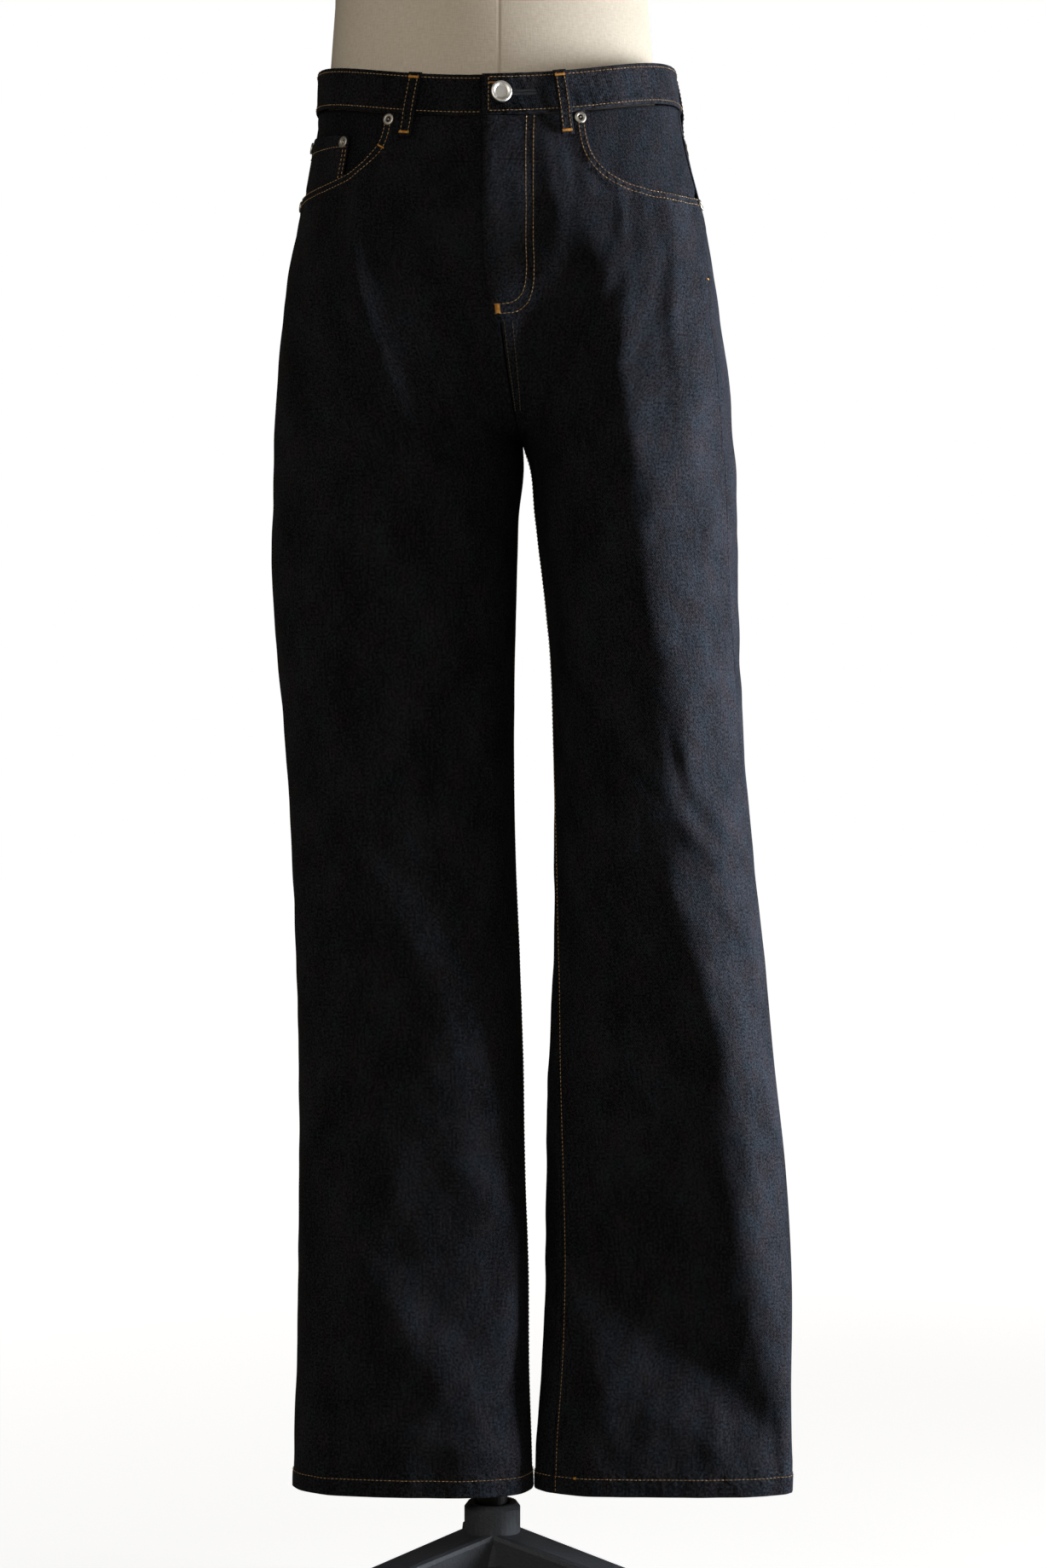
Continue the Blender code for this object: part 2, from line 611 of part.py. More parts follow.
def back_pocket(side, finish, parent, group):
    """A patch pocket: straight at the top, a little narrower below, with a shallow point."""
    across, down = np.linspace(-1, 1, 11)[None, :], np.linspace(0, 1, 10)[:, None]
    half = POCKET_WIDTH / 2 * (1 - POCKET_NARROWING * down)
    middle, metres = POCKETS[side]
    u = middle + across * half / metres
    point = POCKET_POINT * (1 - np.abs(across))
    top = yoke_edge(u) + drop(POCKET_BELOW_YOKE)
    v = top + drop(1.0) * (POCKET_HEIGHT - POCKET_POINT + point) * down
    points = cloth_points(side, u, v, LAYER_GAP + POCKET_CLOTH)
    return shell(f"back_pocket_{side}", points, POCKET_CLOTH, finish, parent, group, side)


def round_body(turn, height):
    """The body's section all round, with its outward normal: turn counts from the centre front, leftward."""
    turn = turn % 1.0
    u = np.where(turn < 0.5, 2 * turn, 2 - 2 * turn)
    left, right = folded_points("left", u, height), folded_points("right", u, height)
    left_out = normals_of(folded_points, "left", u, height)
    right_out = normals_of(folded_points, "right", u, height)
    on_left = (turn < 0.5)[..., None]
    return np.where(on_left, left, right), np.where(on_left, left_out, right_out)


def band_step(turn):
    """How far the band's left end is raised where its right end lies under it."""
    start, end = BAND_STEP_TURNS
    return BAND_STEP * ease((end - turn) / (end - start))


def waistband(finish, parent, group):
    """One strip all round: its right end lies under its left end at the centre front."""
    under, over = BAND_UNDERLAP / WAIST_GIRTH, -BAND_OVERLAP / WAIST_GIRTH
    turn = np.concatenate([
        np.linspace(over, 0.10, 8),
        np.linspace(0.10, 0.90, 43)[1:],
        np.linspace(0.90, 1 + under, 9)[1:],
    ])
    rows = np.linspace(0, 1, 4)
    turn = np.repeat(turn[None, :], len(rows), axis=0)
    height = WAIST_SEAM + BAND_HEIGHT * (1 - rows)[:, None] + 0 * turn
    points, normal = round_body(turn, height)
    crown = BAND_CROWN * np.sin(math.pi * rows)[:, None]
    points = points + normal * (BAND_OUT + band_step(turn) + crown)[..., None]
    return shell("waistband", points, BAND_OUT + BAND_IN, finish, parent, group)


def belt_loop(place, finish, parent, group):
    """A strip over the waistband, sewn at its top edge and below the seam, arched between, leaning by a turn."""
    name, turn, lean, metres = place
    down = np.linspace(0, 1, 9)[:, None]
    top, bottom = WAIST_SEAM + BAND_HEIGHT + LOOP_OVER_BAND, WAIST_SEAM - LOOP_BELOW_SEAM
    height = top + (bottom - top) * down + np.zeros((1, 3))
    round_turn = turn + lean * (down - 0.5) + np.linspace(-0.5, 0.5, 3)[None, :] * LOOP_WIDTH / metres
    points, normal = round_body(round_turn, height)
    overlap = float(band_step(turn))
    on_band = ease((height - WAIST_SEAM + LOOP_STEP) / LOOP_STEP)
    clear = LOOP_GAP + (BAND_OUT + overlap) * on_band
    arch = LOOP_ARCH * np.sin(math.pi * down) ** 0.7
    points = points + normal * (clear + arch + LOOP_CLOTH)[..., None]
    return shell(f"belt_loop_{name}", points, LOOP_CLOTH, finish, parent, group)


def turned(name, profile, segments, finish, parent, group):
    """A turned solid: a profile of (radius, height) points, top to bottom, swept round Z with a Screw."""
    mesh = bpy.data.meshes.new(name)
    mesh.from_pydata([(r, 0, h) for r, h in profile], [(i, i + 1) for i in range(len(profile) - 1)], [])
    made = add_object(name, mesh, finish, parent, group)
    screw = made.modifiers.new("turn", "SCREW")
    screw.steps = screw.render_steps = segments
    screw.use_merge_vertices = True
    screw.merge_threshold = 0.00001
    screw.use_smooth_shade = True
    return made


def seat_on_cloth(piece, point, normal):
    """Stands a turned piece on the cloth, its axis along the cloth's normal."""
    turn = Vector((0, 0, 1)).rotation_difference(Vector(normal))
    piece.matrix_local = Matrix.Translation(Vector(point)) @ turn.to_matrix().to_4x4()


def rivet(name, side, u, v, out, finish, parent, group):
    """A flat burr with a small dome in the middle."""
    height, radius = RIVET_HEIGHT, RIVET_RADIUS
    profile = [
        (0, height), (radius * 0.26, height * 0.80), (radius * 0.34, height * 0.45),
        (radius * 0.80, height * 0.50), (radius, height * 0.25), (radius, 0), (0, 0),
    ]
    made = turned(name, profile, 12, finish, parent, group)
    u, v = np.array([[u]]), np.array([[v]])
    point = cloth_points(side, u, v, out)[0, 0]
    normal = normals_of(folded_points, side, u, WAIST_SEAM - LENGTH * v)[0, 0]
    seat_on_cloth(made, point, normal)
    return made


def tack_button(finish, parent, group):
    """The waistband's button: a dished cap with a rolled rim on a short shank."""
    height, radius = BUTTON_HEIGHT, BUTTON_RADIUS
    profile = [
        (0, height * 0.80), (radius * 0.50, height * 0.78), (radius * 0.66, height * 0.86), (radius * 0.86, height),
        (radius * 0.97, height * 0.86), (radius, height * 0.66), (radius * 0.92, height * 0.46),
        (radius * 0.40, height * 0.40), (radius * 0.40, 0), (0, 0),
    ]
    made = turned("waist_button", profile, 24, finish, parent, group)
    turn = np.array([[BUTTON_TURN]])
    point, normal = round_body(turn, np.array([[WAIST_SEAM + BAND_HEIGHT * BUTTON_UP_BAND]]))
    point = point[0, 0] + normal[0, 0] * (BAND_OUT + BAND_CROWN + float(band_step(BUTTON_TURN)) + TRIM_GAP)
    seat_on_cloth(made, point, normal[0, 0])
    return made


def loft(name, rings, finish, parent, group):
    """A closed solid through rings of points, bottom to top, with flat ends."""
    count, around = rings.shape[:2]
    index = np.arange(count * around).reshape(count, around)
    a, b = index[:-1], index[1:]
    sides = np.stack([a, np.roll(a, -1, axis=1), np.roll(b, -1, axis=1), b], axis=-1).reshape(-1, 4).tolist()
    ends = [index[0][::-1].tolist(), index[-1].tolist()]
    mesh = bpy.data.meshes.new(name)
    mesh.from_pydata(rings.reshape(-1, 3).tolist(), [], sides + ends)
    return add_object(name, mesh, finish, parent, group)


def form_ring(height, around):
    """A ring of the dress form: an oval with its own front and back."""
    angle = 2 * math.pi * np.arange(around) / around
    half = smooth_column(FORM, 1, height)
    front, back = smooth_column(FORM, 2, height), smooth_column(FORM, 3, height)
    x = half * np.cos(angle)
    y = np.abs(np.where(np.sin(angle) < 0, front, back)) * np.sin(angle)
    turn = Matrix.Rotation(FORM_TURN, 2)
    return np.column_stack([np.stack([x, y], axis=-1) @ np.array(turn).T, np.full(around, height)])


def dress_form(finish, plate_finish, parent, group):
    """The padded torso, from a flat base below the hips to the neck, and the plate that caps the neck."""
    rings = np.stack([form_ring(height, FORM_SIDES) for height in FORM[:, 0]])
    loft("dress_form", rings, finish, parent, group)
    top = FORM[-1, 0] + SEAM_GAP
    plate = form_ring(FORM[-1, 0], FORM_SIDES)
    shares = ((1.0, 0.0), (1.0, 0.6), (0.86, 1.0))
    rings = np.stack([plate * (s, s, 0) + (0, 0, top + NECK_PLATE * rise) for s, rise in shares])
    loft("neck_plate", rings, plate_finish, parent, group)


def stand(finish, pole_finish, parent, group, cutters):
    """The pole, and one casting: a hub with a blind socket and three sloping legs, each on a round foot."""
    bpy.ops.mesh.primitive_cylinder_add(vertices=28, radius=POLE_RADIUS, depth=1)
    pole = bpy.context.object
    bottom, top = HUB_SEAT + SEAM_GAP, FORM[0, 0] - SEAM_GAP
    pole.data.transform(Matrix.Translation((0, 0, (bottom + top) / 2)) @ Matrix.Diagonal((1, 1, top - bottom, 1)))
    adopt(pole, "pole", pole_finish, parent, group)
    profile = [
        (0, HUB_SEAT), (POLE_RADIUS + 0.0020, HUB_SEAT), (POLE_RADIUS + 0.0020, HUB_TOP - 0.002),
        (POLE_RADIUS + 0.004, HUB_TOP), (HUB_RADIUS - 0.003, HUB_TOP), (HUB_RADIUS, HUB_TOP - 0.004),
        (HUB_RADIUS, HUB_FOOT + 0.012), (HUB_RADIUS - 0.008, HUB_FOOT), (0, HUB_FOOT),
    ]
    hub = turned("stand_base", profile, 32, finish, parent, group)
    for number, angle in enumerate(LEG_ANGLES):
        leg = stand_leg(f"leg_cutter_{number}", math.radians(angle), finish, parent, cutters)
        join = hub.modifiers.new(f"leg_{number}", "BOOLEAN")
        join.operation, join.object, join.solver = "UNION", leg, "EXACT"
    return hub


def adopt(made, name, finish, parent, group):
    """Names a primitive, gives it its material and puts it in the model's collection."""
    made.name = made.data.name = name
    made.data.materials.append(finish)
    made.data.shade_smooth()
    made.data.set_sharp_from_angle(angle=math.radians(40))
    made.parent = parent
    for holder in list(made.users_collection):
        holder.objects.unlink(made)
    group.objects.link(made)
    return made


def stand_leg(name, angle, finish, parent, cutters):
    """A tapering beam that slopes from the hub to a round foot, joined to the hub by the caller."""
    made = bmesh.new()
    bmesh.ops.create_cube(made, size=1.0)
    for corner in made.verts:
        at_tip = corner.co.x > 0
        width = LEG_WIDTH_TIP if at_tip else LEG_WIDTH_HUB
        deep = LEG_DEPTH_TIP if at_tip else LEG_DEPTH_HUB
        reach = LEG_REACH + 0.004 if at_tip else 0.004
        top = LEG_TOP_AT_HUB - LEG_DROP * max(reach - HUB_RADIUS, 0)
        narrow = 0.80 if corner.co.z < 0 else 1.0
        corner.co = (reach, corner.co.y * width * narrow, top if corner.co.z > 0 else top - deep)
    long_edges = [e for e in made.edges if abs(e.verts[0].co.x - e.verts[1].co.x) > 0.1]
    bmesh.ops.bevel(made, geom=long_edges, offset=0.0045, segments=2, affect="EDGES", profile=0.5)
    tip_top = LEG_TOP_AT_HUB - LEG_DROP * (LEG_REACH - HUB_RADIUS)
    foot = bmesh.new()
    bmesh.ops.create_cone(
        foot, cap_ends=True, segments=24, radius1=FOOT_RADIUS, radius2=FOOT_RADIUS * 0.72, depth=tip_top - 0.004
    )
    bmesh.ops.translate(foot, verts=foot.verts, vec=(LEG_REACH, 0, (tip_top - 0.004) / 2))
    mesh, foot_mesh = bpy.data.meshes.new(name), bpy.data.meshes.new(f"{name}_foot")
    made.to_mesh(mesh)
    foot.to_mesh(foot_mesh)
    made.free()
    foot.free()
    leg, pad = bpy.data.objects.new(name, mesh), bpy.data.objects.new(f"{name}_foot", foot_mesh)
    for piece in (leg, pad):
        piece.parent = parent
        piece.rotation_euler = (0, 0, angle)
        piece.hide_render = True
        piece.display_type = "WIRE"
        cutters.objects.link(piece)
    join = leg.modifiers.new("foot", "BOOLEAN")
    join.operation, join.object, join.solver = "UNION", pad, "EXACT"
    return leg


def main():
    for old in list(bpy.data.objects):
        bpy.data.objects.remove(old)
    jeans, form, cutters = collection("jeans"), collection("dress_form"), collection("cutters")
    axis, pole_axis = empty("torso_axis", AXIS), empty("pole_axis", POLE_AXIS)
    denim = material("raw_denim", (0.012, 0.014, 0.022), 0.85)
    facing = material("raw_denim_facing", (0.010, 0.012, 0.019), 0.88)
    nickel = material("nickel_trim", (0.62, 0.62, 0.60), 0.30, 1.0)
    silver = material("button_metal", (0.80, 0.80, 0.79), 0.25, 1.0)
    linen = material("linen_cover", (0.46, 0.42, 0.36), 0.90)
    enamel = material("painted_steel", (0.020, 0.022, 0.026), 0.45, 0.3)
    iron = material("cast_iron", (0.030, 0.034, 0.040), 0.60, 0.6)
    for side in SIDES:
        front_panel(side, denim, axis, jeans)
        back_panel(side, denim, axis, jeans)
        yoke(side, denim, axis, jeans)
        pocket_facing(side, facing, axis, jeans)
        back_pocket(side, denim, axis, jeans)
        start, depth, _ = SCOOPS[side]
        top_u, top_v = start - SCOOP_RIVET_IN, drop(RIVET_IN)
        side_u, side_v = SIDE_RIVET_U[1], drop(depth + RIVET_IN)
        rivet(f"rivet_scoop_top_{side}", side, top_u, top_v, TRIM_GAP, nickel, axis, jeans)
        rivet(f"rivet_scoop_side_{side}", side, side_u, side_v, TRIM_GAP, nickel, axis, jeans)
    coin_pocket(denim, axis, jeans)
    coin_v = drop(COIN_TOP + RIVET_IN)
    for name, u in (("rivet_coin_front", COIN_START + COIN_RIVET_IN), ("rivet_coin_side", SIDE_RIVET_U[0])):
        out = TRIM_GAP - under_front("right", u, coin_v)
        rivet(name, "right", u, coin_v, out, nickel, axis, jeans)
    waistband(denim, axis, jeans)
    for place in LOOPS:
        belt_loop(place, denim, axis, jeans)
    tack_button(silver, axis, jeans)
    dress_form(linen, enamel, pole_axis, form)
    stand(iron, enamel, pole_axis, form, cutters)


main()
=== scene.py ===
# %% [markdown]
# # Relaxed fit jeans on a dress form
#
# Raw indigo jeans hang on a padded dress form, whose pole stands in a low cast stand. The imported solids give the
# frame: the places, sizes and cuts. This lesson lays the looks over them: finer cloth with its creases, rows of
# topstitching made as real thread, turned metal trims, the form's linen cover and the casting.
#
# All numbers are metres. Z is up, the jeans face -Y, and "right" and "left" are the wearer's, so right is -X.

import json
import math

import bpy
import numpy as np
from mathutils import Matrix, Vector

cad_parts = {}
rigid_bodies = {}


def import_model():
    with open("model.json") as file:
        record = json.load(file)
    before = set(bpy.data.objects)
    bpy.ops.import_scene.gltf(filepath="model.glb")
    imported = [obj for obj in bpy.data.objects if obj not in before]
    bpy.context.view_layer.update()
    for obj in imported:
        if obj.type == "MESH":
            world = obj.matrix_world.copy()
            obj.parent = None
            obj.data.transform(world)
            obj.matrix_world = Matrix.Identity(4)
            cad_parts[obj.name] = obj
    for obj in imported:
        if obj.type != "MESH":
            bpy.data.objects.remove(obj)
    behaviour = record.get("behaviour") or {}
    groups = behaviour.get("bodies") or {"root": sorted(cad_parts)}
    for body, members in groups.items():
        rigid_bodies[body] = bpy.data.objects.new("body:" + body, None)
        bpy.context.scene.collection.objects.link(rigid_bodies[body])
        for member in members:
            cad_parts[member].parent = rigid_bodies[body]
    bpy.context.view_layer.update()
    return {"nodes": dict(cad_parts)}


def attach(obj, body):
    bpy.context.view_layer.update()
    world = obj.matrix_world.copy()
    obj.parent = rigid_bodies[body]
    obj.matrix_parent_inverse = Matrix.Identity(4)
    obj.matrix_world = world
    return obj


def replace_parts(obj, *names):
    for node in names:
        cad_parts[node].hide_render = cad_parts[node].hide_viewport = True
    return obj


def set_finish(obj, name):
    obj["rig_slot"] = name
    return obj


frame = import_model()
SIDES = {"right": -1.0, "left": 1.0}

# %% [markdown]
# ## The garment as one surface
#
# A pair of jeans could be modelled by pushing a box about, but its seams, pockets and stitches all have to follow
# the same cloth. So each half is one function of two numbers: u runs round the leg from the inseam over the front
# (0 to 0.5) and the back (0.5 to 1), and the height runs down it. Tables hold what a tailor would measure at each
# height, and a smooth curve reads them in between.

# %% What a tailor would measure
WAIST_SEAM, HEM, CROTCH = 1.278, 0.155, 1.012
LENGTH = WAIST_SEAM - HEM
# The stand's feet lie on a circle round its pole, and the middle of their box is the origin
FOOT_REACH, FOOT_TURNS, BODY_ASIDE = 0.280, (-23.0, 97.0, 217.0), 0.0042
FEET = [(FOOT_REACH * math.cos(math.radians(a)), FOOT_REACH * math.sin(math.radians(a))) for a in FOOT_TURNS]
POLE_AXIS = np.array([-(min(x) + max(x)) / 2 for x in zip(*FEET)] + [0.0])
AXIS = POLE_AXIS + (BODY_ASIDE, 0.0, 0.0)
HALVES_APART = 0.0005
WAIST_DIP, DIP_POWER, DIP_FADES_AT = 0.024, 2.4, 0.16
RISE_CURVES, RISE_POWER = (0.115, 0.120), 2.2
CORNER_REACH, SLOPE_REACH, SLOPE_BELOW, SLOPE_ABOVE = 0.11, 0.30, 0.05, 0.02
BODY_TO_LEG = (1.165, 0.960)
TORSO_POWER, LEG_POWER, LEAST_DEPTH = 2.12, 2.05, 0.046
FLAT_BELOW, FLAT_WITHIN = 0.96, 0.2
# How square the front's depth is at each height: an oval at the waist, flat above the thighs and down the shins
FRONT_POWERS = np.array([
    (0.155, 2.90), (0.550, 2.80), (0.720, 2.20), (0.960, 2.60), (1.050, 3.60), (1.120, 3.60), (1.160, 2.90),
    (1.200, 2.15), (1.311, 2.10),
])

# Body, from its own axis: height, right side, left side, centre line, front, back
BODY = np.array([
    (1.311, -0.1455, 0.1445, 0.0010, -0.1060, 0.1040),
    (1.278, -0.1468, 0.1490, 0.0010, -0.1080, 0.1080),
    (1.243, -0.1527, 0.1550, 0.0020, -0.1120, 0.1175),
    (1.215, -0.1576, 0.1625, 0.0030, -0.1150, 0.1265),
    (1.187, -0.1618, 0.1696, 0.0045, -0.1175, 0.1345),
    (1.159, -0.1660, 0.1738, 0.0065, -0.1190, 0.1385),
    (1.131, -0.1695, 0.1790, 0.0085, -0.1200, 0.1395),
    (1.103, -0.1737, 0.1822, 0.0105, -0.1200, 0.1380),
    (1.075, -0.1779, 0.1871, 0.0130, -0.1190, 0.1345),
    (1.047, -0.1807, 0.1906, 0.0160, -0.1170, 0.1300),
    (1.012, -0.1837, 0.1930, 0.0195, -0.1130, 0.1230),
    (0.960, -0.1854, 0.1958, 0.0220, -0.1060, 0.1130),
])
# Legs: height, right outer, right inner, left inner, left outer, girth, middle from front to back
LEGS = np.array([
    (1.180, -0.1630, 0.0050, 0.0050, 0.1705, 0.640, 0.0120),
    (1.103, -0.1737, 0.0105, 0.0105, 0.1822, 0.640, 0.0120),
    (1.047, -0.1807, 0.0160, 0.0160, 0.1906, 0.635, 0.0110),
    (1.012, -0.1837, 0.0195, 0.0195, 0.1930, 0.628, 0.0100),
    (0.991, -0.1842, 0.0205, 0.0265, 0.1947, 0.620, 0.0090),
    (0.949, -0.1856, 0.0165, 0.0312, 0.1961, 0.602, 0.0070),
    (0.893, -0.1849, 0.0151, 0.0381, 0.1968, 0.577, 0.0050),
    (0.838, -0.1814, 0.0137, 0.0437, 0.1982, 0.555, 0.0040),
    (0.754, -0.1737, 0.0130, 0.0465, 0.2017, 0.522, 0.0030),
    (0.670, -0.1688, 0.0144, 0.0472, 0.2087, 0.503, 0.0020),
    (0.586, -0.1646, 0.0179, 0.0458, 0.2178, 0.494, 0.0010),
    (0.502, -0.1618, 0.0207, 0.0423, 0.2255, 0.489, 0.0000),
    (0.418, -0.1618, 0.0221, 0.0402, 0.2346, 0.486, 0.0000),
    (0.334, -0.1625, 0.0249, 0.0395, 0.2395, 0.485, 0.0000),
    (0.250, -0.1639, 0.0256, 0.0361, 0.2402, 0.485, 0.0000),
    (0.194, -0.1660, 0.0275, 0.0318, 0.2409, 0.486, 0.0000),
    (0.150, -0.1660, 0.0288, 0.0314, 0.2395, 0.486, 0.0000),
])
# How far each seam has turned round the leg, as a share of its girth: height, right out, right in, left out, left in
TWIST = np.array([
    (1.311, 0.000, 0.000, -0.030, 0.000),
    (1.190, 0.000, 0.000, -0.046, 0.000),
    (1.120, 0.010, 0.000, -0.090, 0.000),
    (1.060, 0.016, 0.000, -0.090, 0.000),
    (1.012, 0.020, 0.000, -0.082, 0.000),
    (0.850, 0.020, 0.000, -0.066, 0.006),
    (0.700, 0.015, -0.004, -0.028, 0.034),
    (0.500, 0.005, -0.008, -0.005, 0.077),
    (0.300, 0.000, -0.008, 0.000, 0.091),
    (0.150, 0.000, -0.004, 0.000, 0.089),
])
print("stand's axis:", POLE_AXIS.round(4), "body's axis:", AXIS.round(4))

# %% The smooth garment


def smoothed(table, count=2400):
    """The table with many rows: a cubic through the given ones, each with the slope of its neighbours."""
    table = table[np.argsort(table[:, 0])]
    rows, values = table[:, 0], table[:, 1:]
    slopes = np.gradient(values, rows, axis=0)
    height = np.linspace(rows[0], rows[-1], count)
    i = np.clip(np.searchsorted(rows, height) - 1, 0, len(rows) - 2)
    step = (rows[i + 1] - rows[i])[:, None]
    t = (height - rows[i])[:, None] / step
    curve = (
        values[i] * (1 + 2 * t) * (1 - t) ** 2
        + slopes[i] * step * t * (1 - t) ** 2
        + values[i + 1] * t * t * (3 - 2 * t)
        - slopes[i + 1] * step * t * t * (1 - t)
    )
    return np.column_stack([height, curve])


def read_at(table, height, *columns):
    """Columns of a smoothed table at any height."""
    return [np.interp(height, table[:, 0], table[:, column]) for column in columns]


def leg_girth(height):
    """The girth of a leg at any height."""
    return read_at(LEGS, height, 5)[0]


def unit(vectors):
    """Vectors brought to length 1."""
    return vectors / np.maximum(np.linalg.norm(vectors, axis=-1, keepdims=True), 1e-12)


def travelled(points):
    """Metres along paths of points, each from its own first point."""
    steps = np.linalg.norm(np.diff(points, axis=-2), axis=-1)
    return np.concatenate([0 * steps[..., :1], np.cumsum(steps, axis=-1)], axis=-1)


BODY, LEGS, TWIST = smoothed(BODY), smoothed(LEGS), smoothed(TWIST)


def ease(t):
    """0 below 0, 1 above 1 and the smooth S 3t^2 - 2t^3 between."""
    t = np.clip(t, 0.0, 1.0)
    return t * t * (3 - 2 * t)


def squared(value, power):
    """A sine or cosine raised to 2/power, keeping its sign, so that an ellipse of it is a little square."""
    return np.sign(value) * np.abs(value) ** (2.0 / power)


def flattened(across, height):
    """Depth on a squarer oval at the same x, as far as the front is square there: (1 - |x|^p)^(1 / p)."""
    power = np.interp(height, FRONT_POWERS[:, 0], FRONT_POWERS[:, 1])
    return np.maximum(1 - np.abs(across) ** power, 0) ** (1 / power)


def body_section(side, u, height):
    """Half an oval round the hips: x is a sine and y a cosine of half a turn, each with its own reach."""
    side_x, centre, front_y, back_y = read_at(BODY, height, 1 if side == "right" else 2, 3, 4, 5)
    across = squared(np.sin(np.pi * u), TORSO_POWER)
    depth = np.where((u >= 0) & (u < 0.5), flattened(across, height), squared(np.cos(np.pi * u), TORSO_POWER))
    return centre + (side_x - centre) * across, np.where(u < 0.5, front_y, -back_y) * depth


def leg_section(side, u, height):
    """A whole oval round a leg. Its depth is what is left of the girth: depth^2 = 2 (girth / pi)^2 - width^2."""
    outer, inner, girth, middle = read_at(LEGS, height, *((1, 2) if side == "right" else (4, 3)), 5, 6)
    depth = np.sqrt(np.maximum(2 * (girth / np.pi) ** 2 - (outer - inner) ** 2, LEAST_DEPTH**2))
    across, deep = squared(np.cos(2 * np.pi * u), LEG_POWER), squared(np.sin(2 * np.pi * u), LEG_POWER)
    share = ease((FLAT_BELOW - height) / FLAT_WITHIN)
    deep = np.where(deep > 0, deep + (flattened(across, height) - deep) * share, deep)
    return (outer + inner) / 2 + (inner - outer) / 2 * across, middle - depth / 2 * deep


def rise_share(u, height):
    """How far the cloth by the rise has turned under: a round corner at the seam, and a soft slope beside it."""
    curve = np.where(u < 0.5, *RISE_CURVES)
    s = np.clip((height - CROTCH) / curve, 0.0, 1.0)
    corner = 1 - (1 - (1 - s) ** RISE_POWER) ** (1 / RISE_POWER)
    slope = 1 - ease((height - CROTCH + SLOPE_BELOW) / (curve + SLOPE_BELOW + SLOPE_ABOVE))
    return slope + (corner - slope) * (1 - ease(np.minimum(u, 1 - u) / CORNER_REACH))


def smooth_cloth(side, u, height):
    """The garment with no folds: the body's oval blended into the leg's across the crotch, and the waist dipped."""
    twist_out, twist_in = read_at(TWIST, height, *((1, 2) if side == "right" else (3, 4)))
    shift_out, shift_in = twist_out * np.sin(np.pi * u) ** 2, twist_in * np.cos(np.pi * u) ** 2
    body_x, body_y = body_section(side, u + shift_out, height)
    leg_x, leg_y = leg_section(side, u + shift_out + shift_in, height)
    share = ease((BODY_TO_LEG[0] - height) / (BODY_TO_LEG[0] - BODY_TO_LEG[1]))
    share = share + (rise_share(u, height) - share) * (1 - ease(np.minimum(u, 1 - u) / SLOPE_REACH))
    x, y = body_x + (leg_x - body_x) * share, body_y + (leg_y - body_y) * share
    front_y, back_y = read_at(BODY, height, 4, 5)
    depth = np.where(y < 0, -front_y, back_y)
    dip = WAIST_DIP * (1 - ease((WAIST_SEAM - height) / LENGTH / DIP_FADES_AT))
    z = height + dip * np.sign(y) * np.abs(y / depth) ** DIP_POWER
    return np.stack([x + SIDES[side] * HALVES_APART / 2, y, z], axis=-1) + AXIS


waist = np.linalg.norm(np.diff(smooth_cloth("left", np.linspace(0, 1, 200), WAIST_SEAM), axis=0), axis=-1).sum()
print("half of the waist measures", round(float(waist), 3), "m")
